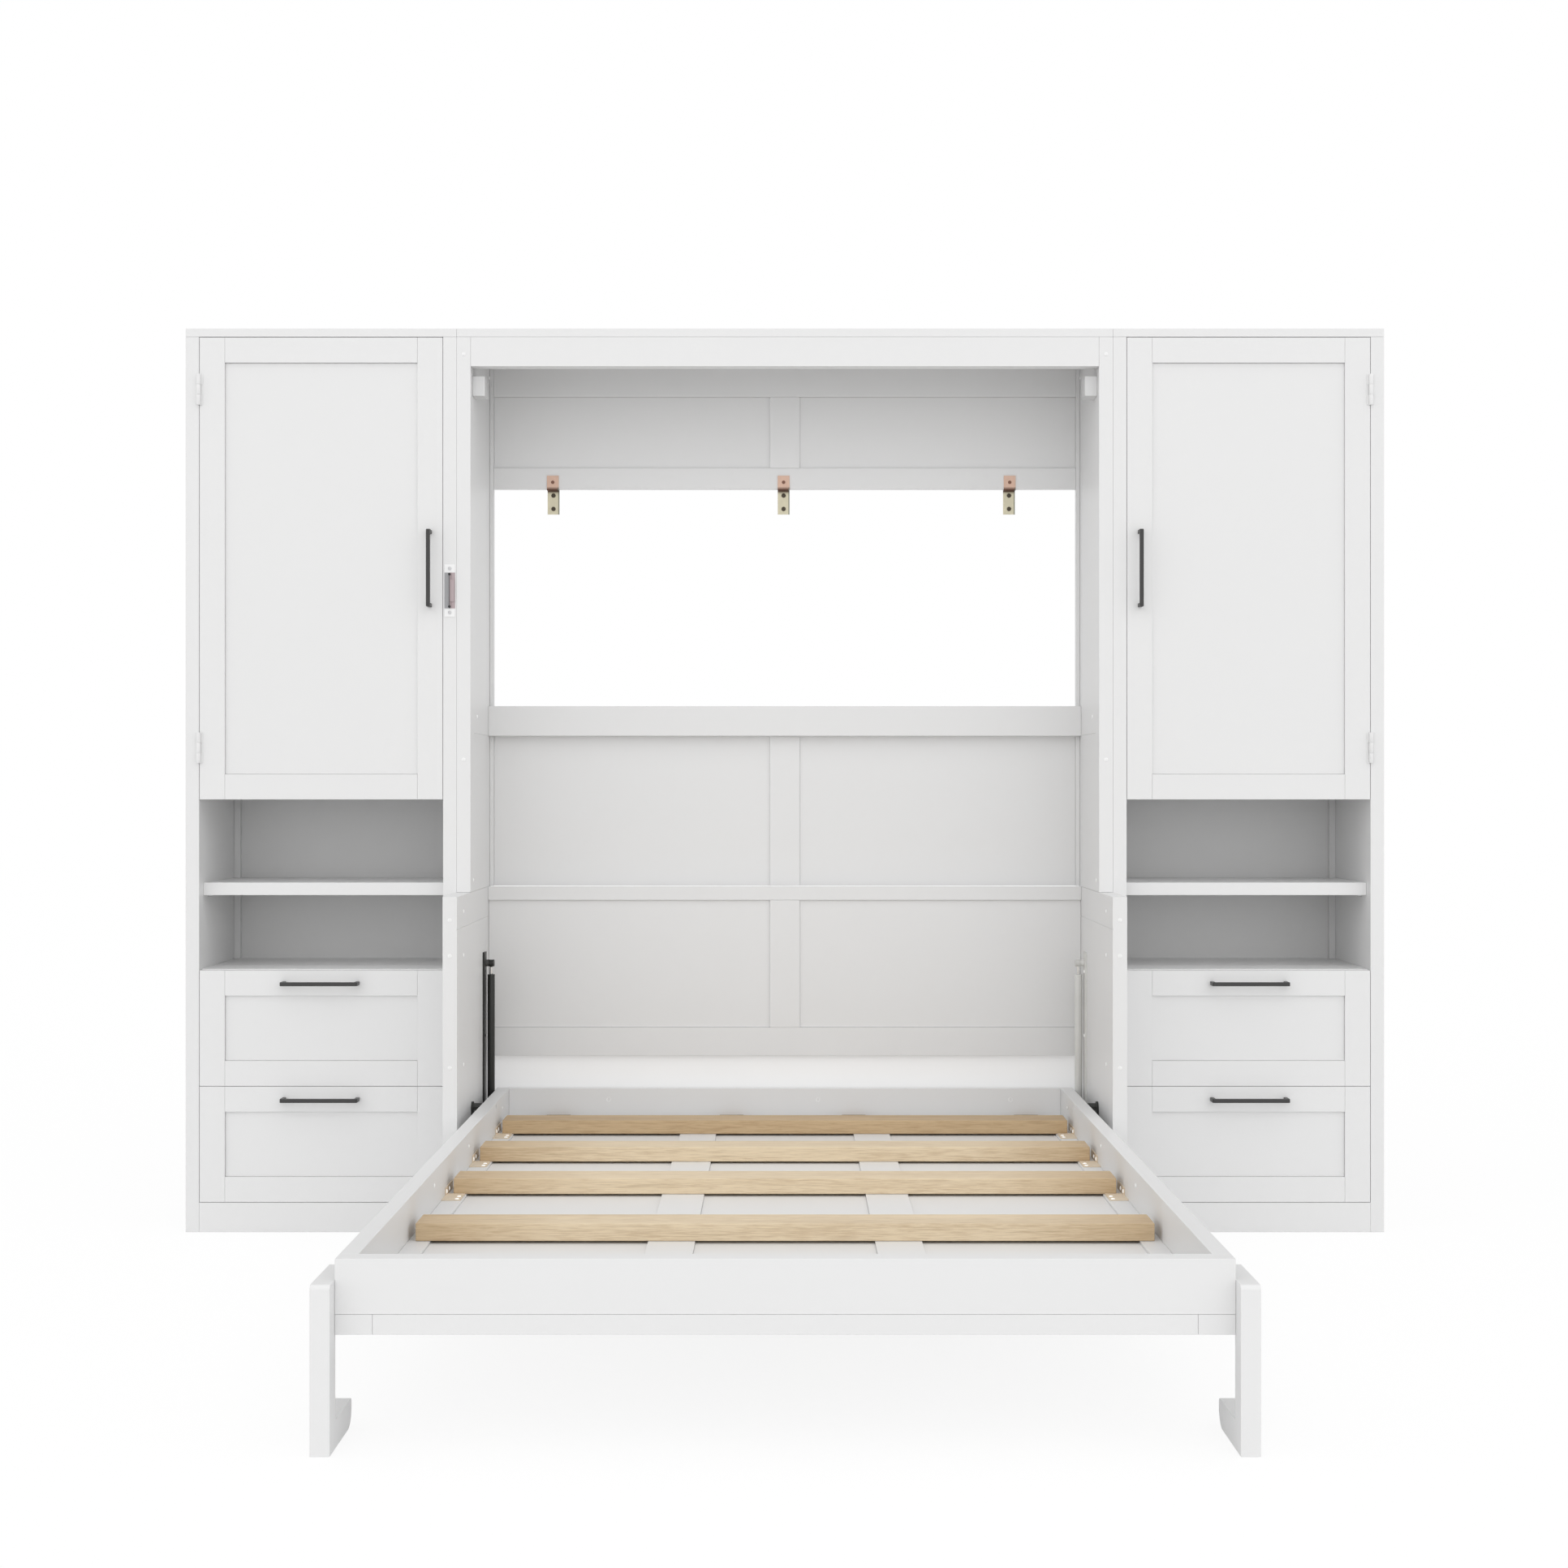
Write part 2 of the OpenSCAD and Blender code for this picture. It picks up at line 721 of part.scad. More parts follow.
// Lower side board that stands out in front and carries the pivot
module lower_side() {
    color(white) placed() difference() {
        board([centre_inner, -lower_reach, 0], [centre_half, cabinet_d, split_h]);
        board([centre_inner - 1, -lower_reach - 1, lower_seam_z - groove_w / 2],
              [centre_inner + groove_d, lower_back_y, lower_seam_z + groove_w / 2]);
    }
}

// A pair of sunk panels with a mullion between them
module back_panels(half, y, z0, z1) {
    m = mullion_w / 2;
    board([-m, y, z0 + seam], [m, y + back_board_t, z1 - seam]);
    for (s = [0, 1])
        mirror([s, 0, 0])
            board([m + seam, y + panel_recess, z0 + seam],
                  [half - seam, y + back_board_t - seam, z1 - seam]);
}

// Rails and stiles round the open window and the panels over and under it
module upper_back() {
    y = upper_back_y;
    y1 = y + back_board_t;
    half = centre_inner - seam;
    in = half - back_stile_w;
    color(white) placed() {
        both_sides() board([in, y, window_sill_z + seam], [half, y1, carcass_top]);
        both_sides() board([in, y, split_h + seam], [half, y1, upper_seam_z - seam]);
        board([-in + seam, y, top_rail_z], [in - seam, y1, carcass_top]);
        back_panels(in, y, upper_panel_z, top_rail_z);
        board([-in + seam, y, window_rail_z], [in - seam, y1, upper_panel_z]);
        board([-half, mid_rail_y, upper_seam_z], [half, y1, window_sill_z]);
        back_panels(in, y, split_h + seam, upper_seam_z);
    }
}

// Rails and panels behind the bed's head
module lower_back() {
    y = lower_back_y;
    y1 = y + back_board_t;
    half = centre_inner - seam;
    color(white) placed() {
        board([-half, y, lower_rail_z], [half, y1, split_h]);
        back_panels(half, y, lower_bottom_z + lower_bottom_h, lower_rail_z);
        board([-half, y, lower_bottom_z], [half, y1, lower_bottom_z + lower_bottom_h]);
    }
}

module rear_stretcher() {
    half = centre_inner - seam;
    y = lower_back_y + back_board_t + seam;
    color(white) placed() board([-half, y, 0], [half, y + stretcher_t, stretcher_h]);
}

// Blocks that the raised bed's side rails come to rest on
module stop_blocks() {
    color(white) placed() both_sides()
        board([centre_inner - stop_w, stop_y, carcass_top - stop_drop - stop_h],
              [centre_inner - seam, stop_y + stop_d, carcass_top - stop_drop]);
}

// Stepped strap: a tab on the rail, a step under it and a tab on the wall
module wall_bracket(x) {
    front = upper_back_y - bracket_t;
    step_z = window_rail_z - seam - bracket_t;
    x0 = x - bracket_w / 2;
    x1 = x + bracket_w / 2;
    low = step_z - bracket_down + bracket_t;
    hole_z = low + bracket_down / 2;
    difference() {
        union() {
            board([x0, front, step_z], [x1, upper_back_y, window_rail_z + bracket_up]);
            board([x0, front, step_z], [x1, cabinet_d, step_z + bracket_t]);
            board([x0, cabinet_d - bracket_t, low], [x1, cabinet_d, step_z + bracket_t]);
        }
        hole_y(x, front - 1, upper_back_y + 1, window_rail_z + bracket_up / 2, bracket_hole_r);
        for (s = [-1, 1])
            hole_y(x, cabinet_d - bracket_t - 1, cabinet_d + 1, hole_z + s * bracket_pitch / 2, bracket_hole_r);
    }
}

module wall_brackets() {
    color(brass) placed() for (x = bracket_x) wall_bracket(x);
}

// ---- Fold mechanism ----

// Plate on the cabinet side with the pin that the bed turns on
module pivot_plate() {
    bar_x(bed_inner + pivot_short, plate_x + 1, pivot_y, pivot_z, pivot_r);
    bar_x(bed_half_w + play, plate_x + 1, pivot_y, pivot_z, pivot_r + pivot_collar);
    translate([plate_x, pivot_y, pivot_z]) rotate([90, 0, 90])
        linear_extrude(plate_t)
            hull() {
                circle(r = pivot_plate_r);
                translate([-pivot_foot_w / 2, -pivot_plate_drop]) square([pivot_foot_w, pivot_foot_h]);
            }
}

module pivot_plates() {
    color(white) placed() both_sides() pivot_plate();
}

// Long plate on the cabinet side with the upper stud of the strut
module strut_plate() {
    x1 = plate_x;
    eye0 = strut_x - eye_w / 2 - running_gap;
    eye1 = strut_x + eye_w / 2 + running_gap;
    y1 = strut_y + strut_plate_back;
    placed() {
        difference() {
            board([x1, y1 - strut_plate_w, strut_low_z - strut_plate_down],
                  [centre_inner, y1, strut_top_z + strut_plate_up]);
            for (z = plate_hole_z)
                bar_x(x1 - 1, centre_inner + 1, strut_y - plate_hole_set, z, plate_hole_r);
        }
        bar_x(eye0 - 1, x1 + 1, strut_y, strut_top_z, stud_r);
        bar_x(eye1, x1 + 1, strut_y, strut_top_z, eye_r);
        bar_x(eye0 - stud_head_t, eye0, strut_y, strut_top_z, eye_r);
    }
}

// Rod with the eye that turns on the upper stud
module strut_rod() {
    color(steel) placed() difference() {
        union() {
            bar_x(strut_x - eye_w / 2, strut_x + eye_w / 2, strut_y, strut_top_z, eye_r);
            translate([strut_x, strut_y, strut_top_z - rod_len]) cylinder(h = rod_len, r = rod_r);
        }
        bar_x(strut_x - eye_w, strut_x + eye_w, strut_y, strut_top_z, stud_r + pin_clear);
    }
}

// Pressure tube that slides on the rod, with its lower eye
module strut_cylinder() {
    low = strut_top_z - tube_end;
    high = strut_top_z - tube_start;
    placed() {
        difference() {
            union() {
                translate([strut_x, strut_y, low]) cylinder(h = high - low, r = strut_r);
                translate([strut_x, strut_y, strut_low_z]) cylinder(h = low - strut_low_z + 1, r = rod_r + 1);
                bar_x(strut_x - low_eye_w / 2, strut_x + low_eye_w / 2, strut_y, strut_low_z, eye_r - 0.5);
            }
            translate([strut_x, strut_y, high - tube_guide])
                cylinder(h = tube_guide + 1, r = rod_r + pin_clear);
            translate([strut_x, strut_y, low + tube_wall])
                cylinder(h = high - low - tube_guide - tube_wall + 1, r = tube_bore_r);
        }
    }
}

// Bosses on the bed's side rails for the lower strut ends
module strut_studs() {
    low_eye = strut_x - low_eye_w / 2;
    color(black_steel) placed() both_sides() {
        bar_x(bed_half_w + 0.1, low_eye - running_gap, strut_y, strut_low_z, stud_r + 2);
    }
}

// ---- Latch ----

module latch_plate() {
    half = latch_len / 2;
    color(steel) placed() translate([latch_x, 0, latch_z]) {
        difference() {
            union() {
                board([-latch_w / 2, -latch_t, -half], [latch_w / 2, -0.1, half]);
                for (z = [-half + latch_knuckle_z, half - latch_knuckle_z - latch_knuckle_h]) {
                    translate([0, latch_axis_y, z]) cylinder(h = latch_knuckle_h, r = latch_r, $fn = small_fn);
                    board([-1, latch_axis_y, z], [1, -latch_t, z + latch_knuckle_h]);
                }
            }
            for (s = [-1, 1]) hole_y(0, -2, 1, s * (half - latch_hole_in), latch_hole_r);
            translate([0, latch_axis_y, -half])
                cylinder(h = latch_len, r = latch_pin_r + pin_clear, $fn = small_fn);
        }
    }
}

// Leaf that turns on the latch plate's two knuckles
module latch_leaf() {
    pin_half = latch_len / 2 - latch_knuckle_z - 1;
    span = pin_half - latch_knuckle_h - running_gap + 1;
    color(steel) placed() translate([latch_x, 0, latch_z]) {
        translate([0, latch_axis_y, -pin_half])
            cylinder(h = 2 * pin_half, r = latch_pin_r, $fn = small_fn);
        translate([0, latch_axis_y, -span]) cylinder(h = 2 * span, r = latch_r, $fn = small_fn);
        board([0, latch_axis_y - 0.2, -span], [latch_w / 2 - 1, latch_axis_y + 1.3, span]);
    }
}

// ---- Bed ----

module bed_frame() {
    color(white) placed() {
        both_sides() difference() {
            board([bed_inner, foot_inner_y + seam, bed_rail_bottom], [bed_half_w, bed_head_y, bed_top_z]);
            bar_x(bed_inner - 1, bed_half_w + 1, pivot_y, pivot_z, pivot_r + pin_clear);
        }
        board([-bed_half_w, foot_y, bed_rail_bottom], [bed_half_w, foot_inner_y, bed_top_z]);
        board([-bed_inner + seam, head_inner_y, bed_rail_bottom], [bed_inner - seam, bed_head_y, bed_top_z]);
    }
}

// Frame and thin panels that show as the front when the bed is up, with floor boards behind them
module bed_face() {
    in = bed_half_w - rail_w - seam;
    batten_in = batten_x - batten_w / 2 - seam;
    batten_out = batten_x + batten_w / 2 + seam;
    y0 = foot_y + rail_w + seam;
    y1 = bed_head_y - rail_w - seam;
    color(white) placed() {
        both_sides() board([in + seam, foot_y, face_z], [bed_half_w, bed_head_y, face_top]);
        board([-in, foot_y, face_z], [in, y0 - seam, face_top]);
        board([-in, y1 + seam, face_z], [in, bed_head_y, face_top]);
        both_sides() board([batten_x - batten_w / 2, y0, face_z], [batten_x + batten_w / 2, y1, ledge_z]);
        board([-batten_in, y0, panel_z], [batten_in, y1, panel_top]);
        both_sides() board([batten_out, y0, panel_z], [in - seam, y1, panel_top]);
        board([-batten_in, y0, floor_top - floor_t], [batten_in, y1, floor_top]);
        both_sides() board([batten_out, y0, floor_top - floor_t], [ledge_x - seam, y1, floor_top]);
        both_sides() board([ledge_x, foot_inner_y + seam, face_top + seam],
                           [bed_inner - seam, head_inner_y - seam, ledge_z]);
    }
}

module bed_slats() {
    half = bed_inner - slat_end_gap;
    color(oak) placed()
        for (y = slat_y)
            board([-half, y, ledge_z + seam], [half, y + slat_w, ledge_z + seam + slat_t]);
}

// Outline of a leg seen from the side, front edge at 0, floor at 0
module leg_outline() {
    r = leg_corner_r;
    arm_z = leg_top_z - leg_arm_h;
    // upright, square below and rounded at the top of its front edge
    square([leg_post_d, leg_top_z - r]);
    // arm along the bed's rail
    translate([0, arm_z]) square([leg_arm_d, leg_arm_h - r]);
    translate([r, arm_z]) square([leg_arm_d - 2 * r, leg_arm_h]);
    translate([r, leg_top_z - r]) circle(r = r);
    translate([leg_arm_d - r, leg_top_z - r]) circle(r = r);
    // foot, with a wide radius under its back end
    square([leg_foot_d - leg_toe_r, leg_foot_h]);
    translate([0, leg_toe_r]) square([leg_foot_d, leg_foot_h - leg_toe_r - leg_heel_r]);
    translate([0, leg_toe_r]) square([leg_foot_d - leg_heel_r, leg_foot_h - leg_toe_r]);
    translate([leg_foot_d - leg_heel_r, leg_foot_h - leg_heel_r]) circle(r = leg_heel_r);
    intersection() {
        translate([leg_foot_d - leg_toe_r, leg_toe_r]) circle(r = leg_toe_r);
        square([leg_foot_d, leg_toe_r]);
    }
}

module bed_leg() {
    translate([bed_half_w + seam, leg_front_y, 0]) rotate([90, 0, 90])
        linear_extrude(leg_t) leg_outline();
}

module bed_legs() {
    color(white) placed() both_sides() bed_leg();
}

// Angle bracket at a slat's end: a leg on the ledge in front of the slat, a leg on the rail beside it
module slat_bracket(y) {
    x1 = bed_inner - 0.1;
    z0 = ledge_z + 0.1;
    overlap = angle_front * 0.3;
    difference() {
        union() {
            board([x1 - angle_w, y - angle_front, z0], [x1, y - 1, z0 + angle_t]);
            board([x1 - angle_t, y - overlap, z0], [x1, y + angle_back, z0 + angle_rise]);
        }
        for (i = [0.5, 0.88])
            translate([x1 - angle_w * 0.8, y - angle_front * i, z0 - 1])
                cylinder(h = angle_t + 2, r = angle_hole_r, $fn = small_fn);
        for (dy = [-overlap * 0.6, angle_back * 0.3])
            bar_x(x1 - angle_t - 1, x1 + 1, y + dy, z0 + angle_rise * 0.5, angle_hole_r);
    }
}

module slat_brackets() {
    color(brass) placed() both_sides()
        for (i = [0 : 2]) slat_bracket(slat_y[i]);
}

// Small wood blocks along the head rail
module head_blocks() {
    color(brown) placed()
        for (x = head_block_x)
            board([x - head_block_w / 2, head_inner_y - seam - head_block_d, face_top + seam],
                  [x + head_block_w / 2, head_inner_y - seam, ledge_z + head_block_lift]);
}

// ---- Desk ----

// Hinge with its axis on X at z = 0, the bed's face above it and the turning board on the -Y side.
// The leaf on the bed's face, the web down to the middle knuckle and the knuckle itself.
module desk_hinge_fixed() {
    w = desk_hinge_half;
    k = desk_knuckle_half;
    difference() {
        union() {
            board([-w, 2, desk_axis_drop - 2], [w, 2 + w, desk_axis_drop - 0.1]);
            board([-k, 3, -1], [k, 6, desk_axis_drop - 1.5]);
            bar_x(-k, k, 0, 0, desk_knuckle_r);
        }
        bar_x(-w - 1, w + 1, 0, 0, hinge_pin_r + pin_clear);
    }
}

// The leaf under the turning board, the outer knuckles and the pin
module desk_hinge_moving() {
    w = desk_hinge_half;
    k = desk_knuckle_half + running_gap;
    board([-w, -w - 6, desk_leaf_z], [w, -2.5, desk_board_z - seam]);
    bar_x(-w, -k, 0, 0, desk_knuckle_r);
    bar_x(k, w, 0, 0, desk_knuckle_r);
    bar_x(-w, w, 0, 0, hinge_pin_r);
}

module at_desk_axis(x) {
    translate([x, desk_axis_y, desk_axis_z]) children();
}

module at_arm_axis(y) {
    translate([desk_arm_x, y, desk_axis_z]) rotate([0, 0, -90]) children();
}

// Knuckles lose what would foul the other half's board
module moving_set() {
    k = desk_knuckle_half + running_gap;
    difference() {
        desk_hinge_moving();
        board([-k, -40, 0.5], [k, 5, 4]);
        board([-k, 2.2, -6], [k, 5, 6]);
    }
}

module desk_top() {
    half = desk_w / 2;
    y1 = desk_axis_y - desk_board_y;
    z0 = desk_axis_z + desk_board_z;
    color(oak) placed() {
        board([-half, y1 - desk_d, z0], [half, y1, z0 + desk_t - 0.2]);
        for (x = desk_hinge_x) at_desk_axis(x) moving_set();
    }
}

module desk_arm() {
    x1 = desk_arm_x - desk_board_y;
    z0 = desk_axis_z + desk_board_z;
    color(white) placed() {
        board([x1 - desk_arm_len, desk_arm_y0, z0], [x1, desk_arm_y0 + desk_arm_h, z0 + desk_t - 0.2]);
        for (y = arm_hinge_y) at_arm_axis(y) moving_set();
    }
}

module desk_hinges() {
    color(steel) placed() {
        for (x = desk_hinge_x) at_desk_axis(x) desk_hinge_fixed();
        both_sides() for (y = arm_hinge_y) at_arm_axis(y) desk_hinge_fixed();
    }
}

top_boards();
tower_plinths();
tower_backs();
loose_shelves();
left() outer_side();  // left_outer_side
left() inner_side();  // left_inner_side
inner_side();  // right_inner_side
outer_side();  // right_outer_side
left() fixed_shelves();  // left_fixed_shelves
fixed_shelves();  // right_fixed_shelves
left() door();  // left_door
door();  // right_door
left() door_handle();  // left_door_handle
door_handle();  // right_door_handle
hinge_frame_leaves();
left() door_leaves();  // left_door_leaves
door_leaves();  // right_door_leaves
left() drawer_box(1);  // left_upper_drawer_box
left() drawer_box(0);  // left_lower_drawer_box
drawer_box(1);  // right_upper_drawer_box
drawer_box(0);  // right_lower_drawer_box
left() drawer_front(1);  // left_upper_drawer_front
left() drawer_front(0);  // left_lower_drawer_front
drawer_front(1);  // right_upper_drawer_front
drawer_front(0);  // right_lower_drawer_front
left() drawer_handle(1);  // left_upper_drawer_handle
left() drawer_handle(0);  // left_lower_drawer_handle
drawer_handle(1);  // right_upper_drawer_handle
drawer_handle(0);  // right_lower_drawer_handle
drawer_runners();
header();
left() upper_side();  // left_upper_side
upper_side();  // right_upper_side
left() lower_side();  // left_lower_side
lower_side();  // right_lower_side
upper_back();
lower_back();
rear_stretcher();
stop_blocks();
wall_brackets();
pivot_plates();
color(black_steel) left() strut_plate();  // left_strut_plate
color(pale_steel) strut_plate();  // right_strut_plate
left() strut_rod();  // left_strut_rod
strut_rod();  // right_strut_rod
color(black_steel) left() strut_cylinder();  // left_strut_cylinder
color(pale_steel) strut_cylinder();  // right_strut_cylinder
latch_plate();
latch_leaf();
bed_frame();
bed_face();
bed_slats();
bed_legs();
slat_brackets();
head_blocks();
strut_studs();
desk_top();
left() desk_arm();  // left_desk_arm
desk_arm();  // right_desk_arm
desk_hinges();
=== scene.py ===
"""Looks of a wall bed between two storage towers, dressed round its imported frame."""
import math

import bmesh
import bpy
from bpy.props import FloatProperty, FloatVectorProperty, IntProperty, PointerProperty
from mathutils import Matrix, Vector


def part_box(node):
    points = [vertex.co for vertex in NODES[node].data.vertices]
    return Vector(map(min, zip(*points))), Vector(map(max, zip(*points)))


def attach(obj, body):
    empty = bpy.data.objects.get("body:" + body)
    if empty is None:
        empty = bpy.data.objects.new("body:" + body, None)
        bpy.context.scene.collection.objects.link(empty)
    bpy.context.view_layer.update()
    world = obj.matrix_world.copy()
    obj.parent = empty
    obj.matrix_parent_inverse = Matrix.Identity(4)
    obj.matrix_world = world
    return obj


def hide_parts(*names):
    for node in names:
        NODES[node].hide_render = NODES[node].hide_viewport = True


bl_info = {
    "name": "Wall Bed Dresser",
    "version": (1, 0, 0),
    "blender": (4, 5, 0),
    "location": "View3D > Sidebar > Wall Bed",
    "description": "Finishes, fittings and studio for a wall bed with storage towers",
    "category": "Object",
}

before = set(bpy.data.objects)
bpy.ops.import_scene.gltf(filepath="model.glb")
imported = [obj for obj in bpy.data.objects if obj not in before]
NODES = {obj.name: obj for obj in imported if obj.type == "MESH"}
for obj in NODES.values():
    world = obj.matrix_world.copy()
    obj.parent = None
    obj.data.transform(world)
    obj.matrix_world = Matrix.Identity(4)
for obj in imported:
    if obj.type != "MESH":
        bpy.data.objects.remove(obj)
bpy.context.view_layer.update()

MM = 0.001


def low(node):
    """Lowest corner of a CAD node."""
    return Vector(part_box(node)[0])


def high(node):
    """Highest corner of a CAD node."""
    return Vector(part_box(node)[1])


# Planes that the fittings line up with, taken from the frame. They are in metres
FRONT_Y = low("left_outer_side").y
LOWER_FRONT_Y = low("left_lower_side").y
UPPER_EDGE_X = (low("right_upper_side").x + high("right_upper_side").x) / 2
SIDE_FACE_X = low("right_lower_side").x
RAIL_FACE_X = high("bed_frame").x - 31 * MM
HEAD_FACE_Y = high("bed_frame").y - 24 * MM

# Places of the small fittings, in millimetres: x from the middle, z from the floor, and y from
# the towers' front plane. Places on a side are given for the right, and mirrored
BRACKET_X = (-589, -3, 571)
SIDE_CAPS = ((328, 2098), (110, 1233), (46, 838), (-116, 772), (-116, 670), (-116, 415))
UPPER_EDGE_CAPS_Z = (2094, 1127)
LOWER_EDGE_CAPS_Z = (757, 675, 419)
RAIL_CAPS_Y, RAIL_CAPS_Z = (-903, -434, 131), 277
HEAD_CAPS_X, HEAD_CAPS_Z = (-441, 83, 565), 279
SLATS_Y = (25, -360, -745)
SHELF_UNDERSIDES_Z = (802, 1394.3, 1764.7)
STRUT_HOLES_Z = (603, 444, 250)
RIVET_REACH = 38.6

FORWARD, BACKWARD = (0, -1, 0), (0, 1, 0)
INWARD, OUTWARD, UPWARD = (-1, 0, 0), (1, 0, 0), (0, 0, 1)

# Sizes that several pieces share
BOARD_THICKNESS = 20 * MM
HANDLE_BAR = 9 * MM
WELD_REACH = 0.02 * MM
SHARP = math.radians(40)

# Colours of single finishes, some of them painted shade where marked
WHITE, BLACK = (1.0, 1.0, 1.0), (0.0, 0.0, 0.0)
BLACK_PAINT, PALE_PAINT = (0.020, 0.021, 0.019), (0.66, 0.66, 0.64)
BEIGE_PAINT, DRAWER_FACING = (0.72, 0.61, 0.47), (0.76, 0.75, 0.71)
CAP_WHITE, SCREW_WHITE = (0.81, 0.81, 0.81), (0.88, 0.88, 0.87)
SCREW_STEEL, ZINC = (0.72, 0.72, 0.73), (0.58, 0.58, 0.59)
BRONZE, COPPER, JET = (0.065, 0.048, 0.025), (0.24, 0.11, 0.07), (0.02, 0.02, 0.02)
# Darkens the oak toward the slat ends, and is painted shade on the rear slat
OAK_DARK_ENDS_AND_PAINTED_SHADE = (0.72, 0.63, 0.52)
BLOCK_LIGHT, BLOCK_DARK = (0.32, 0.23, 0.15), (0.19, 0.13, 0.08)
# The dark strap colour is painted shade in the bend of the wall brackets
STRAP_COPPER, STRAP_PAINTED_SHADE = (0.72, 0.49, 0.38), (0.09, 0.03, 0.012)
STRAP_YELLOW, STRAP_RIM = (0.70, 0.65, 0.48), (0.16, 0.17, 0.13)
LATCH_GREY, LATCH_RED = (0.36, 0.36, 0.37), (0.47, 0.37, 0.38)
LATCH_BRUSHED, LATCH_LINE, LATCH_ENDS = (0.30, 0.30, 0.31), (0.06, 0.06, 0.06), (0.86, 0.86, 0.86)
PLATE_LOW, PLATE_HIGH = (0.30, 0.31, 0.31), (0.045, 0.045, 0.043)
PLATE_WEAR, PLATE_EDGE = (0.10, 0.10, 0.10), (0.018, 0.018, 0.017)
ROD_DULL, ROD_BRIGHT = (0.80, 0.80, 0.81), (0.92, 0.92, 0.92)


# ---- Sizes and colours that a user may change ----

class LacquerSettings(bpy.types.PropertyGroup):
    """White lacquer on the boards"""
    colour: FloatVectorProperty(name="Colour", description="Colour of the lacquer", subtype="COLOR",
                                size=3, min=0, max=1, default=(0.76, 0.76, 0.76))
    roughness: FloatProperty(name="Roughness", description="How matt the lacquer is",
                             min=0, max=1, default=0.42)
    edge: FloatProperty(name="Edge", description="Width of the eased edges of the boards",
                        subtype="DISTANCE", unit="LENGTH", min=0, default=0.5 * MM)


class OakSettings(bpy.types.PropertyGroup):
    """Pale oak of the slats and the desk top"""
    light: FloatVectorProperty(name="Light wood", description="Colour between the grain lines",
                               subtype="COLOR", size=3, min=0, max=1, default=(0.74, 0.61, 0.43))
    dark: FloatVectorProperty(name="Dark wood", description="Colour of the grain lines",
                              subtype="COLOR", size=3, min=0, max=1, default=(0.55, 0.41, 0.26))
    edge: FloatProperty(name="Edge", description="Radius of the slats' edges",
                        subtype="DISTANCE", unit="LENGTH", min=0, default=1.6 * MM)


class FittingSettings(bpy.types.PropertyGroup):
    """Caps, screws and handles"""
    cap_radius: FloatProperty(name="Cap radius", description="Radius of a screw cap",
                              subtype="DISTANCE", unit="LENGTH", min=0, default=4.6 * MM)
    cap_height: FloatProperty(name="Cap height", description="How far a screw cap stands out",
                              subtype="DISTANCE", unit="LENGTH", min=0, default=1.6 * MM)
    cap_sides: IntProperty(name="Cap sides", description="Sides of the round fittings",
                           min=8, max=64, default=20)
    charcoal: FloatVectorProperty(name="Handles", description="Colour of the handles",
                                  subtype="COLOR", size=3, min=0, max=1,
                                  default=(0.038, 0.037, 0.037))


class StudioSettings(bpy.types.PropertyGroup):
    """Camera, floor and light"""
    camera_x: FloatProperty(name="Camera X", description="Sideways place of the camera",
                            subtype="DISTANCE", unit="LENGTH", default=-2 * MM)
    camera_distance: FloatProperty(name="Camera distance",
                                   description="Distance from the cabinets' front plane",
                                   subtype="DISTANCE", unit="LENGTH", min=0.1, default=5.192)
    camera_height: FloatProperty(name="Camera height", description="Height of the camera",
                                 subtype="DISTANCE", unit="LENGTH", default=1.063)
    lens: FloatProperty(name="Lens", description="Focal length on a 36 mm sensor",
                        subtype="DISTANCE_CAMERA", min=1, default=49.99)
    shift_y: FloatProperty(name="Shift", description="Vertical shift of the lens", default=0.00155)
    sky: FloatProperty(name="Sky", description="Strength of the even light from all round",
                       min=0, default=1.14)
    front: FloatProperty(name="Front", description="Strength of the even light from the front",
                         min=0, default=1.36)
    behind: FloatProperty(name="Behind", description="Strength of the even light from behind",
                          min=0, default=0.3)
    ground: FloatProperty(name="Ground", description="How much of its light the floor throws back",
                          min=0, max=1, default=0.85)
    key: FloatProperty(name="Key", description="Power of the soft key light",
                       subtype="POWER", unit="POWER", min=0, default=6)


SETTINGS = (
    ("wall_bed_lacquer", LacquerSettings),
    ("wall_bed_oak", OakSettings),
    ("wall_bed_fittings", FittingSettings),
    ("wall_bed_studio", StudioSettings),
)


# ---- Shader maths ----

class Sock:
    """A shader socket on which Python's own arithmetic adds Math nodes"""

    def __init__(self, tree, link):
        self.tree = tree
        self.link = link

    def math(self, operation, *others):
        return self.tree.node("ShaderNodeMath", {"operation": operation},
                              dict(enumerate((self, *others))))

    def __add__(self, other):
        return self.math("ADD", other)

    def __radd__(self, other):
        return self.math("ADD", other)

    def __sub__(self, other):
        return self.math("SUBTRACT", other)

    def __rsub__(self, other):
        return (self * -1.0) + other

    def __mul__(self, other):
        return self.math("MULTIPLY", other)

    def __rmul__(self, other):
        return self.math("MULTIPLY", other)


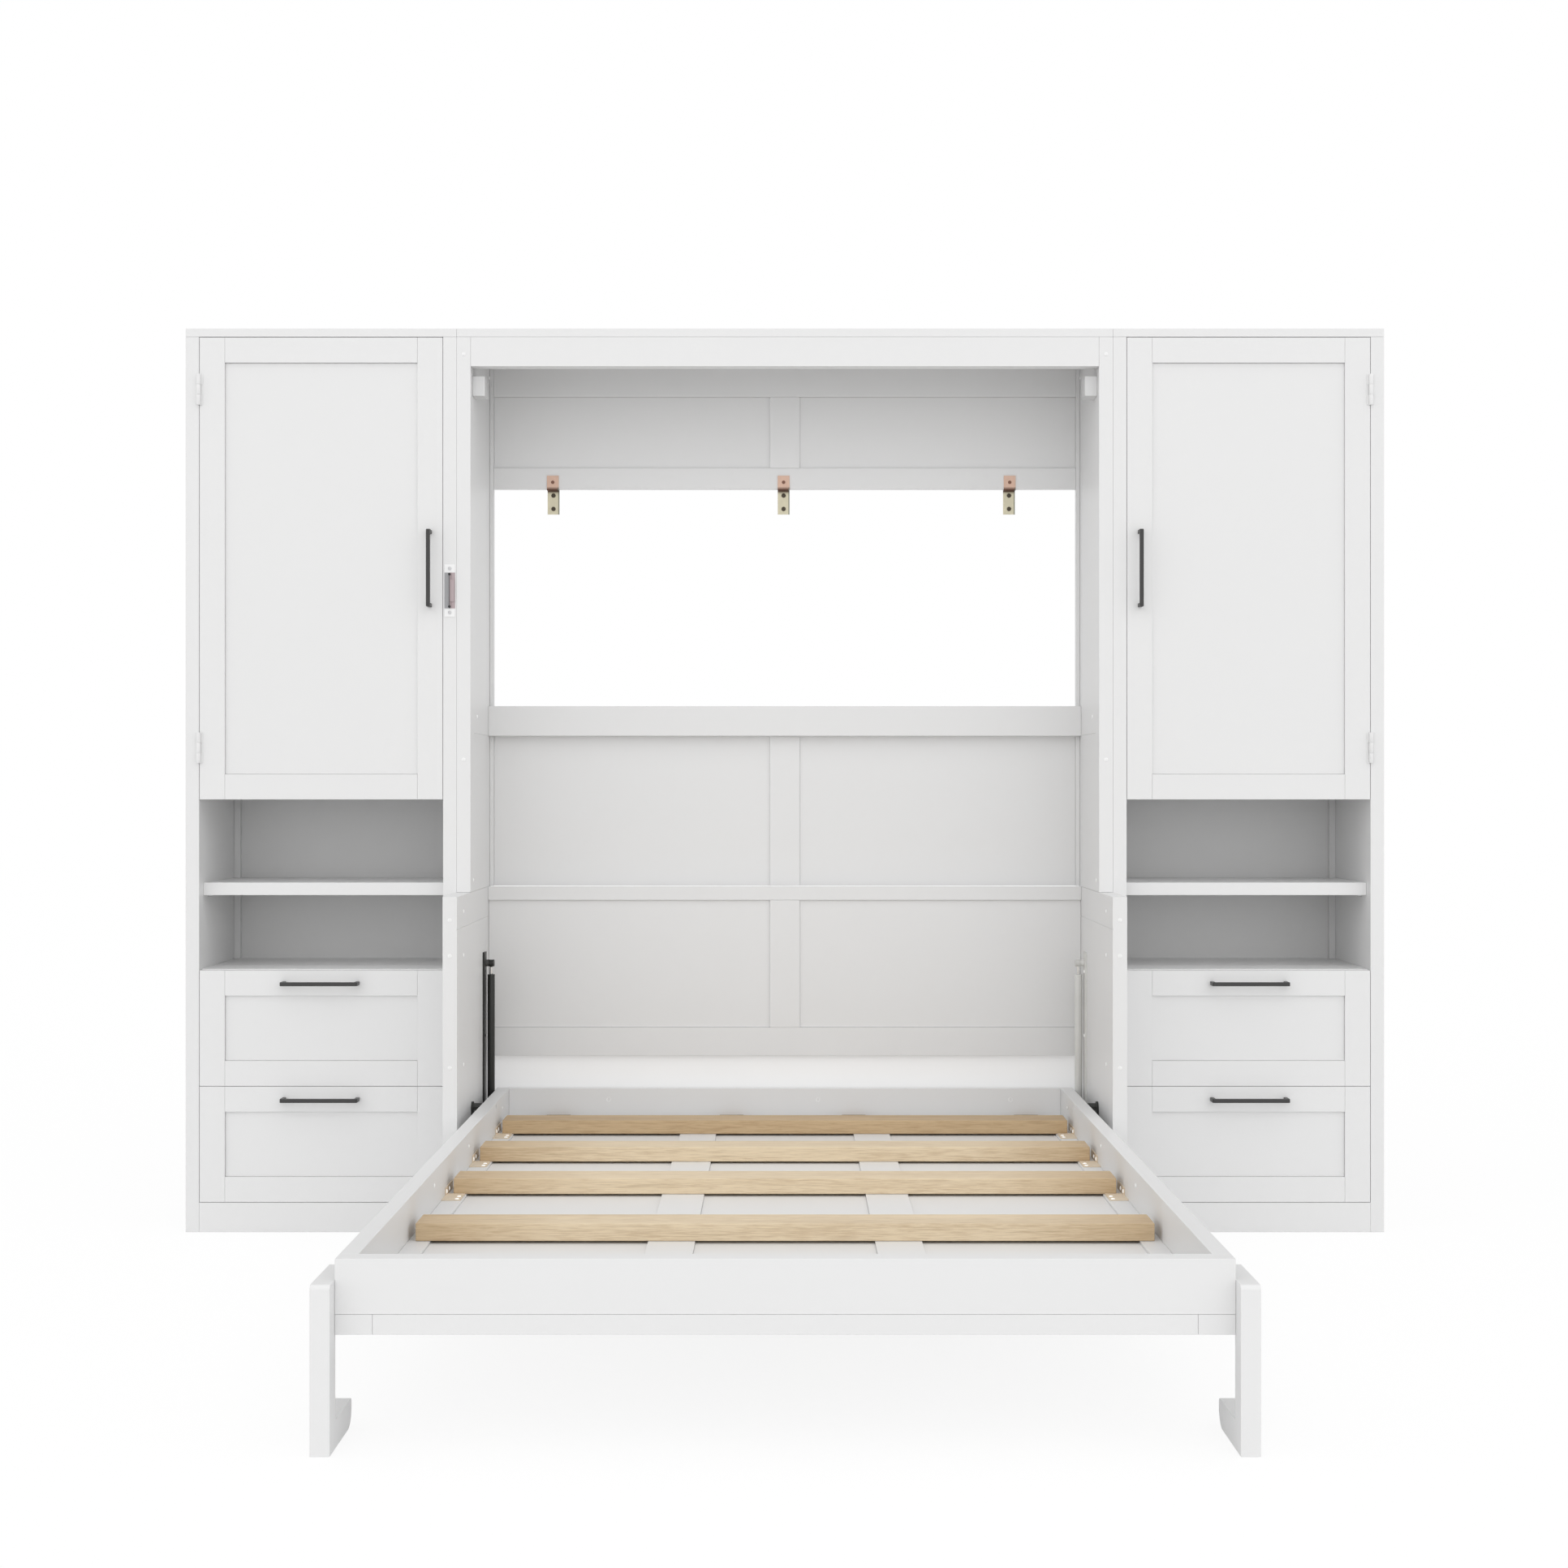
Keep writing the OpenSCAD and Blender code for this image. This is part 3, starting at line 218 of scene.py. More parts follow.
class Graph:
    """A node tree under construction"""

    def __init__(self, owner, output):
        owner.use_nodes = True
        self.nodes = owner.node_tree.nodes
        self.links = owner.node_tree.links
        self.nodes.clear()
        self.output = output

    def node(self, kind, settings=None, inputs=None, out=0):
        """Adds a node, sets its settings or its ramp's stops, then fills its sockets"""
        made = self.nodes.new(kind)
        for key, value in (settings or {}).items():
            if key == "stops":
                elements = made.color_ramp.elements
                while len(elements) < len(value):
                    elements.new(0.5)
                for element, (position, colour) in zip(elements, value):
                    element.position = position
                    element.color = (*colour, 1.0)
            else:
                setattr(made, key, value)
        for key, value in (inputs or {}).items():
            if isinstance(value, Sock):
                self.links.new(value.link, made.inputs[key])
            else:
                made.inputs[key].default_value = value
        return Sock(self, made.outputs[out]) if made.outputs else None

    def place(self, scale):
        """Object coordinates, stretched"""
        coords = self.node("ShaderNodeTexCoord", out="Object")
        return self.node("ShaderNodeMapping", {}, {"Vector": coords, "Scale": scale})

    def lengthwise(self, along, slow, fast):
        """Object coordinates stretched for a pattern that runs along one axis"""
        scale = [fast, fast, fast]
        scale[along] = slow
        return self.place(tuple(scale))

    def noise(self, where, scale, detail=2.0, rough=0.5, distortion=0.0):
        return self.node("ShaderNodeTexNoise", {}, {
            "Vector": where, "Scale": scale, "Detail": detail, "Roughness": rough,
            "Distortion": distortion})

    def ramp(self, factor, stops):
        """Colours along a factor from 0 to 1"""
        return self.node("ShaderNodeValToRGB", {"stops": stops}, {"Fac": factor}, "Color")

    def mix(self, factor, first, second, blend="MIX"):
        """Mixes two colours"""
        ends = [value if isinstance(value, Sock) else (*value, 1.0) for value in (first, second)]
        return self.node("ShaderNodeMix", {"data_type": "RGBA", "blend_type": blend},
                         {0: factor, 6: ends[0], 7: ends[1]}, 2)

    def bump(self, height, strength, distance):
        return self.node("ShaderNodeBump", {}, {
            "Height": height, "Strength": strength, "Distance": distance})

    def blend(self, factor, first, second):
        """Mixes two shaders"""
        return self.node("ShaderNodeMixShader", {}, {0: factor, 1: first, 2: second})

    def axis(self, axis, kind="Object"):
        """One coordinate, in metres, or one part of another vector"""
        vector = self.node("ShaderNodeTexCoord", out=kind)
        return self.node("ShaderNodeSeparateXYZ", {}, {0: vector}, axis)

    def unlit(self):
        """1 on rays that show a background: from the camera, in a mirror or through glass"""
        camera = self.node("ShaderNodeLightPath", out="Is Camera Ray")
        mirror = self.node("ShaderNodeLightPath", out="Is Glossy Ray")
        glass = self.node("ShaderNodeLightPath", out="Is Transmission Ray")
        return camera.math("MAXIMUM", mirror).math("MAXIMUM", glass)

    def finish(self, shader):
        """Joins the last shader to the output"""
        self.node(self.output, {}, {"Surface": shader})


class Finish(Graph):
    """A material under construction"""

    def __init__(self, name):
        self.material = bpy.data.materials.new(name)
        super().__init__(self.material, "ShaderNodeOutputMaterial")

    def surface(self, **inputs):
        """Ends the material in one principled shader"""
        named = {key.replace("_", " "): value for key, value in inputs.items()}
        self.finish(self.node("ShaderNodeBsdfPrincipled", {}, named))
        return self.material


def shade(colour, factor):
    """A colour made lighter or darker"""
    return tuple(min(1.0, channel * factor) for channel in colour)


def halfway(first, second):
    """The colour half way between two"""
    return tuple((a + b) / 2 for a, b in zip(first, second))


def lacquer(name, colour, roughness, painted_glow=0.0, painted_glow_y=0.0):
    """Sprayed satin lacquer with a faint cloudiness and a fine orange peel

    With a glowing strength and a depth given, the face that lies on the plane at that depth glows
    with painted light, which no lamp gives.
    """
    f = Finish(name)
    here = f.place((1, 1, 1))
    cloud = f.noise(here, 3.0, 3.0)
    speck = f.noise(here, 60.0, 2.0)
    tone = f.mix(cloud * 0.5 + speck * 0.2, shade(colour, 0.985), shade(colour, 1.01))
    peel = f.noise(here, 420.0, 1.5)
    wave = f.noise(here, 35.0, 1.0)
    gloss = cloud * 0.10 + speck * 0.05 + (roughness - 0.07)
    painted_light = {}
    # Painted light: the face on the front plane glows in its own colour
    if painted_glow:
        behind = between(f.axis(1), painted_glow_y + 1 * MM, painted_glow_y + 3 * MM)
        painted_light = {"Emission_Color": f.mix(behind, tone, BLACK), "Emission_Strength": painted_glow}
    return f.surface(Base_Color=tone, Roughness=gloss, Specular_IOR_Level=0.4,
                     Normal=f.bump(peel * 0.6 + wave * 0.4, 0.05, 0.4 * MM), **painted_light)


def oak(name, light, dark, along, half=0.0, rear=0.0):
    """Straight-grained oak, the grain running along one axis

    With a half length given it grows browner toward its ends, and behind the plane at rear it takes
    painted shade, browner and darker.
    """
    f = Finish(name)
    here = f.lengthwise(along, 0.9, 16.0)
    broad = f.noise(here, 1.6, 3.0, 0.55, 0.2)
    fine = f.noise(here, 26.0, 5.0, 0.62, 0.15)
    pores = f.noise(f.lengthwise(along, 5.0, 160.0), 1.0, 2.0, 0.7)
    streak = broad * 0.35 + fine * 0.65
    lines = f.ramp(streak, ((0.28, shade(dark, 0.95)), (0.43, halfway(dark, light)),
                            (0.52, light), (0.66, shade(light, 1.08))))
    open_pore = f.ramp(pores, ((0.30, WHITE), (0.42, BLACK)))
    depth = f.node("ShaderNodeRGBToBW", {}, {"Color": open_pore})
    colour = f.mix(depth * 0.4, lines, shade(dark, 0.8))
    if half:
        reach = f.axis(along).math("ABSOLUTE") * (1 / half)
        ends = f.ramp(reach + (broad - 0.5) * 0.3, ((0.6, BLACK), (0.95, shade(WHITE, 0.72))))
        # Painted shade: the slat behind the rear plane is darkened as if in shadow
        behind = f.axis(1).math("GREATER_THAN", rear) * 0.95
        colour = f.mix(behind.math("MAXIMUM", ends), colour, OAK_DARK_ENDS_AND_PAINTED_SHADE, "MULTIPLY")
    return f.surface(Base_Color=colour, Roughness=0.46 + streak * 0.16, Specular_IOR_Level=0.35,
                     Normal=f.bump(streak * 0.5 - depth * 0.5, 0.25, 0.5 * MM))


def raw_wood(name, light, dark):
    """Unfinished blocks of brown wood"""
    f = Finish(name)
    here = f.place((1.5, 18.0, 18.0))
    grain = f.noise(here, 7.0, 5.0, 0.6, 0.5)
    colour = f.ramp(grain, ((0.3, dark), (0.6, light)))
    return f.surface(Base_Color=colour, Roughness=0.62 + grain * 0.2,
                     Normal=f.bump(grain, 0.4, 0.6 * MM))


def faced_board(name, colour):
    """Off-white faced board of the drawer boxes, with a fine linen print"""
    f = Finish(name)
    warp = f.noise(f.place((400.0, 400.0, 24.0)), 1.0, 1.0)
    weft = f.noise(f.place((24.0, 24.0, 400.0)), 1.0, 1.0)
    cloth = warp * 0.5 + weft * 0.5
    tone = f.mix(cloth, shade(colour, 0.93), shade(colour, 1.04))
    return f.surface(Base_Color=tone, Roughness=0.5 + cloth * 0.12,
                     Normal=f.bump(cloth, 0.12, 0.2 * MM))


def powder_coat(name, colour, roughness):
    """Finely textured powder coat or paint on metal, a little uneven in tone"""
    f = Finish(name)
    here = f.place((1, 1, 1))
    grit = f.noise(here, 900.0, 2.0)
    cloud = f.noise(here, 14.0, 2.0)
    tone = f.mix(cloud * 0.6 + grit * 0.3, shade(colour, 0.85), shade(colour, 1.2))
    return f.surface(Base_Color=tone, Roughness=roughness + grit * 0.12,
                     Normal=f.bump(grit, 0.2, 0.15 * MM))


def plated(name, colour, roughness):
    """Plated sheet metal with faint rolling marks"""
    f = Finish(name)
    marks = f.noise(f.lengthwise(2, 8.0, 300.0), 1.0, 3.0)
    cloud = f.noise(f.place((1, 1, 1)), 40.0, 3.0)
    tone = f.mix(cloud, shade(colour, 0.82), shade(colour, 1.12))
    return f.surface(Base_Color=tone, Metallic=1.0,
                     Roughness=roughness + marks * 0.12 + cloud * 0.08,
                     Normal=f.bump(marks, 0.08, 0.2 * MM))


def moulded(name, colour, painted_glow, sideways=False):
    """Smooth plastic or bright metal of small fittings, which glows a little

    With sideways given, only the faces that look sideways are glowing. The glowing is a painted
    glint, light that no lamp gives.
    """
    f = Finish(name)
    grain = f.noise(f.place((1, 1, 1)), 700.0, 2.0)
    tone = f.mix(grain, shade(colour, 0.97), shade(colour, 1.02))
    # Painted glint: the emission colour, kept to the sideways faces when asked
    painted_light = f.mix(f.axis(0, "Normal").math("ABSOLUTE"), BLACK, tone) if sideways else tone
    return f.surface(Base_Color=tone, Roughness=0.32 + grain * 0.1, Emission_Color=painted_light,
                     Emission_Strength=painted_glow, Normal=f.bump(grain, 0.1, 0.1 * MM))


def between(value, start, end):
    """0 before start, 1 after end, a straight rise between"""
    rise = (value - start) * (1.0 / (end - start))
    return rise.math("MAXIMUM", 0.0).math("MINIMUM", 1.0)


def bracket_steel(name, bend_z, middles, half):
    """Heat-tinted straps, coppery over the bend and yellowish under it; the bend is dark with
    painted shade
    """
    f = Finish(name)
    x, z = f.axis(0), f.axis(2)
    tint = f.noise(f.place((1, 1, 1)), 55.0, 3.0, 0.6)
    grain = f.noise(f.place((240.0, 240.0, 40.0)), 1.0, 2.0)
    over = between(z, bend_z - 1 * MM, bend_z + 6 * MM)
    under = between(z, bend_z - 9 * MM, bend_z - 3 * MM)
    low_tone = f.mix(tint, shade(STRAP_YELLOW, 0.86), shade(STRAP_YELLOW, 1.1))
    high_tone = f.mix(tint, shade(STRAP_COPPER, 0.82), shade(STRAP_COPPER, 1.12))
    # Painted shade: the band in the bend is darkened as the shaded underside of the joggle
    tone = f.mix(over, f.mix(under, low_tone, STRAP_PAINTED_SHADE), high_tone)
    rim = sum(between(x, middle + half - 4 * MM, middle + half - 2 * MM)
              - between(x, middle + half + 1 * MM, middle + half + 2 * MM) for middle in middles)
    tone = f.mix(rim * (1.0 - over) * 0.8, tone, STRAP_RIM)
    return f.surface(Base_Color=tone, Metallic=0.15, Roughness=0.34 + grain * 0.2,
                     Normal=f.bump(grain, 0.15, 0.2 * MM))


def latch_steel(name, middle_x, middle_z, half):
    """Brushed plate, bright at both ends, grey and reddish between, with a dark middle line"""
    f = Finish(name)
    x, z = f.axis(0), f.axis(2)
    brush = f.noise(f.place((600.0, 600.0, 12.0)), 1.0, 3.0)
    away = (z - middle_z).math("ABSOLUTE")
    ends = between(away, half - 21 * MM, half - 18 * MM)
    right = between(x, middle_x - 0.5 * MM, middle_x + 0.5 * MM)
    line = 1.0 - between((x - middle_x).math("ABSOLUTE"), 0.5 * MM, 1.2 * MM)
    body = f.mix(right, LATCH_GREY, LATCH_RED)
    body = f.mix(brush * 0.4, body, LATCH_BRUSHED)
    body = f.mix(line, body, LATCH_LINE)
    tone = f.mix(ends, body, LATCH_ENDS)
    return f.surface(Base_Color=tone, Metallic=0.2, Roughness=0.33 + brush * 0.15,
                     Normal=f.bump(brush, 0.1, 0.2 * MM))


def strut_plate_finish(name, front_y, low_z, high_z):
    """Dark painted plate: black on its front edge, its face a grey that gets lighter downwards"""
    f = Finish(name)
    y, z = f.axis(1), f.axis(2)
    wear = f.noise(f.place((60.0, 60.0, 10.0)), 1.0, 3.0)
    face = f.mix(between(z, low_z, high_z), PLATE_LOW, PLATE_HIGH)
    face = f.mix(wear * 0.35, face, PLATE_WEAR)
    tone = f.mix(between(y, front_y + 1 * MM, front_y + 4 * MM), PLATE_EDGE, face)
    return f.surface(Base_Color=tone, Metallic=0.1, Roughness=0.36 + wear * 0.15)


def strut_rod_finish(name, eye_z, paint):
    """Polished rod whose end eye is painted"""
    f = Finish(name)
    z = f.axis(2)
    marks = f.noise(f.place((500.0, 500.0, 30.0)), 1.0, 2.0)
    eye = between(z, eye_z - 1 * MM, eye_z)
    tone = f.mix(eye, f.mix(marks, ROD_DULL, ROD_BRIGHT), paint)
    return f.surface(Base_Color=tone, Metallic=0.85 - eye * 0.75,
                     Roughness=0.16 + marks * 0.06 + eye * 0.25)


def dress(node, material, edge=0.0, segments=2):
    """Gives a CAD node its finish and, where asked, eased edges"""
    obj = NODES[node]
    obj.data.materials.clear()
    obj.data.materials.append(material)
    if edge > 0:
        weld = obj.modifiers.new("weld", "WELD")
        weld.merge_threshold = WELD_REACH
        bevel = obj.modifiers.new("ease", "BEVEL")
        bevel.width = edge
        bevel.segments = segments
        bevel.limit_method = "ANGLE"
        bevel.angle_limit = SHARP


# ---- Modelling by hand ----

def clear_selection():
    """Leaves edit mode and deselects everything"""
    if bpy.context.object and bpy.context.object.mode != "OBJECT":
        bpy.ops.object.mode_set(mode="OBJECT")
    bpy.ops.object.select_all(action="DESELECT")


def pick_faces(obj, test):
    """In edit mode, selects the faces whose centre and normal pass the test"""
    bpy.ops.mesh.select_mode(type="FACE")
    bpy.ops.mesh.select_all(action="DESELECT")
    mesh = bmesh.from_edit_mesh(obj.data)
    for face in mesh.faces:
        if test(face.calc_center_median(), face.normal):
            face.select = True
    bmesh.update_edit_mesh(obj.data)


def pick_edges(obj, test):
    """In edit mode, selects the edges whose middle and direction pass the test"""
    bpy.ops.mesh.select_mode(type="EDGE")
    bpy.ops.mesh.select_all(action="DESELECT")
    mesh = bmesh.from_edit_mesh(obj.data)
    for edge in mesh.edges:
        a, b = edge.verts[0].co, edge.verts[1].co
        if test((a + b) / 2, (b - a).normalized()):
            edge.select = True
    bmesh.update_edit_mesh(obj.data)


def settle(obj):
    """Puts an object's place into its mesh, so that the object sits at the origin"""
    clear_selection()
    obj.select_set(True)
    bpy.context.view_layer.objects.active = obj
    bpy.ops.object.transform_apply(location=True, rotation=True, scale=True)


def finish_piece(obj, name, material, body):
    """Names a finished piece, gives it its finish and lets it ride on its body"""
    settle(obj)
    obj.name = name
    obj.data.name = name
    obj.data.materials.clear()
    obj.data.materials.append(material)
    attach(obj, body)


def fit(master, spots, name, material, body):
    """Copies a master, modelled facing +Z, to each (place, direction), as one finished piece"""
    made = []
    for place, direction in spots:
        copy = master.copy()
        copy.data = master.data.copy()
        bpy.context.collection.objects.link(copy)
        turn = Vector((0, 0, 1)).rotation_difference(Vector(direction)).to_matrix().to_4x4()
        copy.matrix_world = Matrix.Translation(Vector(place)) @ turn
        made.append(copy)
    clear_selection()
    for copy in made:
        copy.select_set(True)
    bpy.context.view_layer.objects.active = made[0]
    bpy.ops.object.join()
    bpy.data.objects.remove(master)
    finish_piece(made[0], name, material, body)


def cap_master(radius, height, sides, ring=False):
    """A domed cap, or a ring-shaped one with a sunk middle"""
    clear_selection()
    bpy.ops.mesh.primitive_cylinder_add(vertices=sides, radius=radius, depth=height,
                                        location=(0, 0, height / 2))
    cap = bpy.context.object
    bpy.ops.object.mode_set(mode="EDIT")
    pick_faces(cap, lambda c, n: n.z > 0.9)
    bpy.ops.mesh.inset(thickness=radius * 0.3)
    if ring:
        bpy.ops.transform.translate(value=(0, 0, -height * 0.1))
        bpy.ops.mesh.inset(thickness=radius * 0.12)
        bpy.ops.transform.translate(value=(0, 0, -height * 0.6))
    else:
        bpy.ops.transform.translate(value=(0, 0, height * 0.35))
        bpy.ops.mesh.inset(thickness=radius * 0.35)
        bpy.ops.transform.translate(value=(0, 0, height * 0.12))
    bpy.ops.object.mode_set(mode="OBJECT")
    return cap


def peg_master(radius, length, sides):
    """A shelf peg: a thin flange with a round pin standing out of it"""
    clear_selection()
    flange, thick = radius * 1.8, 1 * MM
    bpy.ops.mesh.primitive_cylinder_add(vertices=sides, radius=flange, depth=thick,
                                        location=(0, 0, thick / 2))
    peg = bpy.context.object
    bpy.ops.object.mode_set(mode="EDIT")
    pick_faces(peg, lambda c, n: n.z > 0.9)
    bpy.ops.mesh.inset(thickness=flange - radius)
    bpy.ops.mesh.extrude_region_move(TRANSFORM_OT_translate={"value": (0, 0, length - thick)})
    bpy.ops.mesh.inset(thickness=radius * 0.25)
    bpy.ops.transform.translate(value=(0, 0, radius * 0.25))
    bpy.ops.object.mode_set(mode="OBJECT")
    return peg


def screw_master(radius, height, sides):
    """A pan-head screw with a cross recess"""
    head = cap_master(radius, height, sides)
    bpy.context.view_layer.objects.active = head
    for turn in (0, 90):
        clear_selection()
        bpy.ops.mesh.primitive_cube_add(size=1, location=(0, 0, height * 1.3),
                                        rotation=(0, 0, math.radians(turn)))
        cutter = bpy.context.object
        cutter.scale = (radius * 1.1, radius * 0.26, height * 1.2)
        cut = head.modifiers.new("recess", "BOOLEAN")
        cut.operation = "DIFFERENCE"
        cut.solver = "EXACT"
        cut.object = cutter
        clear_selection()
        head.select_set(True)
        bpy.context.view_layer.objects.active = head
        bpy.ops.object.modifier_apply(modifier=cut.name)
        bpy.data.objects.remove(cutter)
    return head


def mirrored(spots):
    """Each spot and its mirror image across the middle"""
    both = []
    for (x, y, z), (dx, dy, dz) in spots:
        both += [((x, y, z), (dx, dy, dz)), ((-x, y, z), (-dx, dy, dz))]
    return both


def bar_pull(name, node, body, material):
    """A square bar bent back to the board at both ends, modelled over its CAD handle"""
    a, b = low(node), high(node)
    upright = (b.z - a.z) > (b.x - a.x)
    axis = 2 if upright else 0
    bar = HANDLE_BAR
    length = b[axis] - a[axis]
    centre = (a + b) / 2
    clear_selection()
    bpy.ops.mesh.primitive_cube_add(size=1, location=(0, 0, 0))
    pull = bpy.context.object
    pull.scale = (length, bar, bar)
    bpy.ops.object.transform_apply(location=False, rotation=False, scale=True)
    bpy.ops.object.mode_set(mode="EDIT")
    # two cuts near the ends part off the feet, which are then drawn back to the board
    foot_x = length / 2 - bar
    for side in (-1, 1):
        bpy.ops.mesh.select_all(action="SELECT")
        bpy.ops.mesh.bisect(plane_co=(side * foot_x, 0, 0), plane_no=(1, 0, 0))
    back = b.y - a.y - bar
    pick_faces(pull, lambda c, n: n.y > 0.9 and abs(c.x) > foot_x)
    bpy.ops.mesh.extrude_region_move(TRANSFORM_OT_translate={"value": (0, back, 0)})
    pick_edges(pull, lambda c, d: abs(d.z) > 0.9 and abs(c.x) > length / 2 - 1 * MM and c.y < 0)
    bpy.ops.mesh.bevel(offset=bar / 2, offset_type="OFFSET", segments=5, affect="EDGES")
    bpy.ops.object.mode_set(mode="OBJECT")
    bevel = pull.modifiers.new("ease", "BEVEL")
    bevel.width = 0.9 * MM
    bevel.segments = 2
    bevel.limit_method = "ANGLE"
    bevel.angle_limit = SHARP
    bpy.ops.object.modifier_apply(modifier=bevel.name)
    pull.location = (centre.x, a.y + bar / 2, centre.z)
    if upright:
        pull.rotation_euler = (0, math.radians(90), 0)
    bpy.ops.object.shade_smooth_by_angle(angle=math.radians(35))
    finish_piece(pull, name, material, body)
    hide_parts(node)


BOARDS = (
    "top_boards", "tower_plinths", "loose_shelves",
    "left_outer_side", "left_inner_side", "right_inner_side", "right_outer_side",
    "left_fixed_shelves", "right_fixed_shelves", "left_door", "right_door",
    "left_upper_drawer_front", "left_lower_drawer_front",
    "right_upper_drawer_front", "right_lower_drawer_front",
    "header", "left_upper_side", "right_upper_side", "left_lower_side", "right_lower_side",
    "upper_back", "lower_back",
    "bed_frame", "bed_face", "left_desk_arm", "right_desk_arm",
)

HANDLES = (
    ("left_door_handle", "left_wardrobe_door"),
    ("right_door_handle", "right_wardrobe_door"),
    ("left_upper_drawer_handle", "left_upper_drawer"),
    ("left_lower_drawer_handle", "left_lower_drawer"),
    ("right_upper_drawer_handle", "right_upper_drawer"),
    ("right_lower_drawer_handle", "right_lower_drawer"),
)


# ---- Operators ----

class WALLBED_OT_boards(bpy.types.Operator):
    """Lacquer the white boards and ease their edges"""
    bl_idname = "wall_bed.boards"
    bl_label = "Lacquer the boards"

    def execute(self, context):
        look = context.scene.wall_bed_lacquer
        white = lacquer("white lacquer", look.colour, look.roughness)
        for node in BOARDS:
            dress(node, white, look.edge)
        # Painted shade: the tower backs, deep in the niches, and the stop blocks get a darker
        # lacquer that stands for their shade
        grey = lacquer("painted shade lacquer", shade(look.colour, 0.89), look.roughness)
        for node in ("tower_backs", "stop_blocks"):
            dress(node, grey, look.edge)
        # Painted light: the rear stretcher's front face glows, brighter than the lamps alone make
        # it
        bright = lacquer("painted glow lacquer", look.colour, look.roughness, 0.28,
                         low("rear_stretcher").y)
        dress("rear_stretcher", bright, look.edge)
        dress("bed_legs", white, look.edge * 1.5, 3)
        linen = faced_board("faced board", DRAWER_FACING)
        for side in ("left", "right"):
            for level in ("upper", "lower"):
                dress(f"{side}_{level}_drawer_box", linen, look.edge * 0.6)
        return {"FINISHED"}


class WALLBED_OT_timber(bpy.types.Operator):
    """Oak slats, oak desk top and the raw blocks at the head"""
    bl_idname = "wall_bed.timber"
    bl_label = "Finish the timber"

    def execute(self, context):
        look = context.scene.wall_bed_oak
        # The rear slat, behind a plane 120 mm in front of the slats' back edge, takes painted shade
        slats_end = high("bed_slats")
        slats = oak("oak slats", look.light, look.dark, 0, slats_end.x, slats_end.y - 120 * MM)
        dress("bed_slats", slats, look.edge, 3)
        dress("desk_top", oak("oak desk top", look.light, look.dark, 0), look.edge, 3)
        dress("head_blocks", raw_wood("brown blocks", BLOCK_LIGHT, BLOCK_DARK), look.edge * 0.5)
        return {"FINISHED"}


class WALLBED_OT_metal(bpy.types.Operator):
    """Finish the struts, plates, hinges and brackets"""
    bl_idname = "wall_bed.metal"
    bl_label = "Finish the metal"

    def execute(self, context):
        black = powder_coat("black strut paint", BLACK_PAINT, 0.35)
        pale = powder_coat("pale strut paint", PALE_PAINT, 0.4)
        zinc = plated("zinc plate", ZINC, 0.32)
        beige = powder_coat("beige angle steel", BEIGE_PAINT, 0.4)
        paint = powder_coat("white hinge paint", context.scene.wall_bed_lacquer.colour, 0.4)
        strap = bracket_steel("heat-tinted strap", high("wall_brackets").z - 34 * MM,
                              [x * MM for x in BRACKET_X], 15 * MM)
        a, b = low("latch_plate"), high("latch_plate")
        latch = latch_steel("latch steel", (a.x + b.x) / 2, (a.z + b.z) / 2, (b.z - a.z) / 2)
        eye_z = high("left_strut_rod").z - 18 * MM
        left_rod = strut_rod_finish("left rod", eye_z, BLACK_PAINT)
        right_rod = strut_rod_finish("right rod", eye_z, PALE_PAINT)
        a, b = low("left_strut_plate"), high("left_strut_plate")
        plate = strut_plate_finish("left strut plate", a.y, a.z, b.z - 60 * MM)
        dress("left_strut_plate", plate, 0.4 * MM)
        # The pivot plates are black as painted shade for the dark gap between the bed's rail and
        # the side; the strut cylinder and studs are black paint
        for node in ("left_strut_cylinder", "strut_studs", "pivot_plates"):
            dress(node, black, 0.4 * MM)
        for node in ("right_strut_plate", "right_strut_cylinder"):
            dress(node, pale, 0.4 * MM)
        for node in ("drawer_runners", "desk_hinges"):
            dress(node, zinc, 0.3 * MM)
        for node in ("latch_plate", "latch_leaf"):
            dress(node, latch, 0.2 * MM)
        dress("wall_brackets", strap, 0.15 * MM)
        dress("slat_brackets", beige, 0.15 * MM)
        dress("left_strut_rod", left_rod, 0.3 * MM)
        dress("right_strut_rod", right_rod, 0.3 * MM)
        for node in ("hinge_frame_leaves", "left_door_leaves", "right_door_leaves"):
            dress(node, paint, 0.3 * MM)
        return {"FINISHED"}


class WALLBED_OT_handles(bpy.types.Operator):
    """Model the charcoal bar handles"""
    bl_idname = "wall_bed.handles"
    bl_label = "Model the handles"

    def execute(self, context):
        colour = context.scene.wall_bed_fittings.charcoal
        charcoal = powder_coat("charcoal powder coat", colour, 0.38)
        for node, body in HANDLES:
            bar_pull(f"{node}_bar", node, body, charcoal)
        return {"FINISHED"}


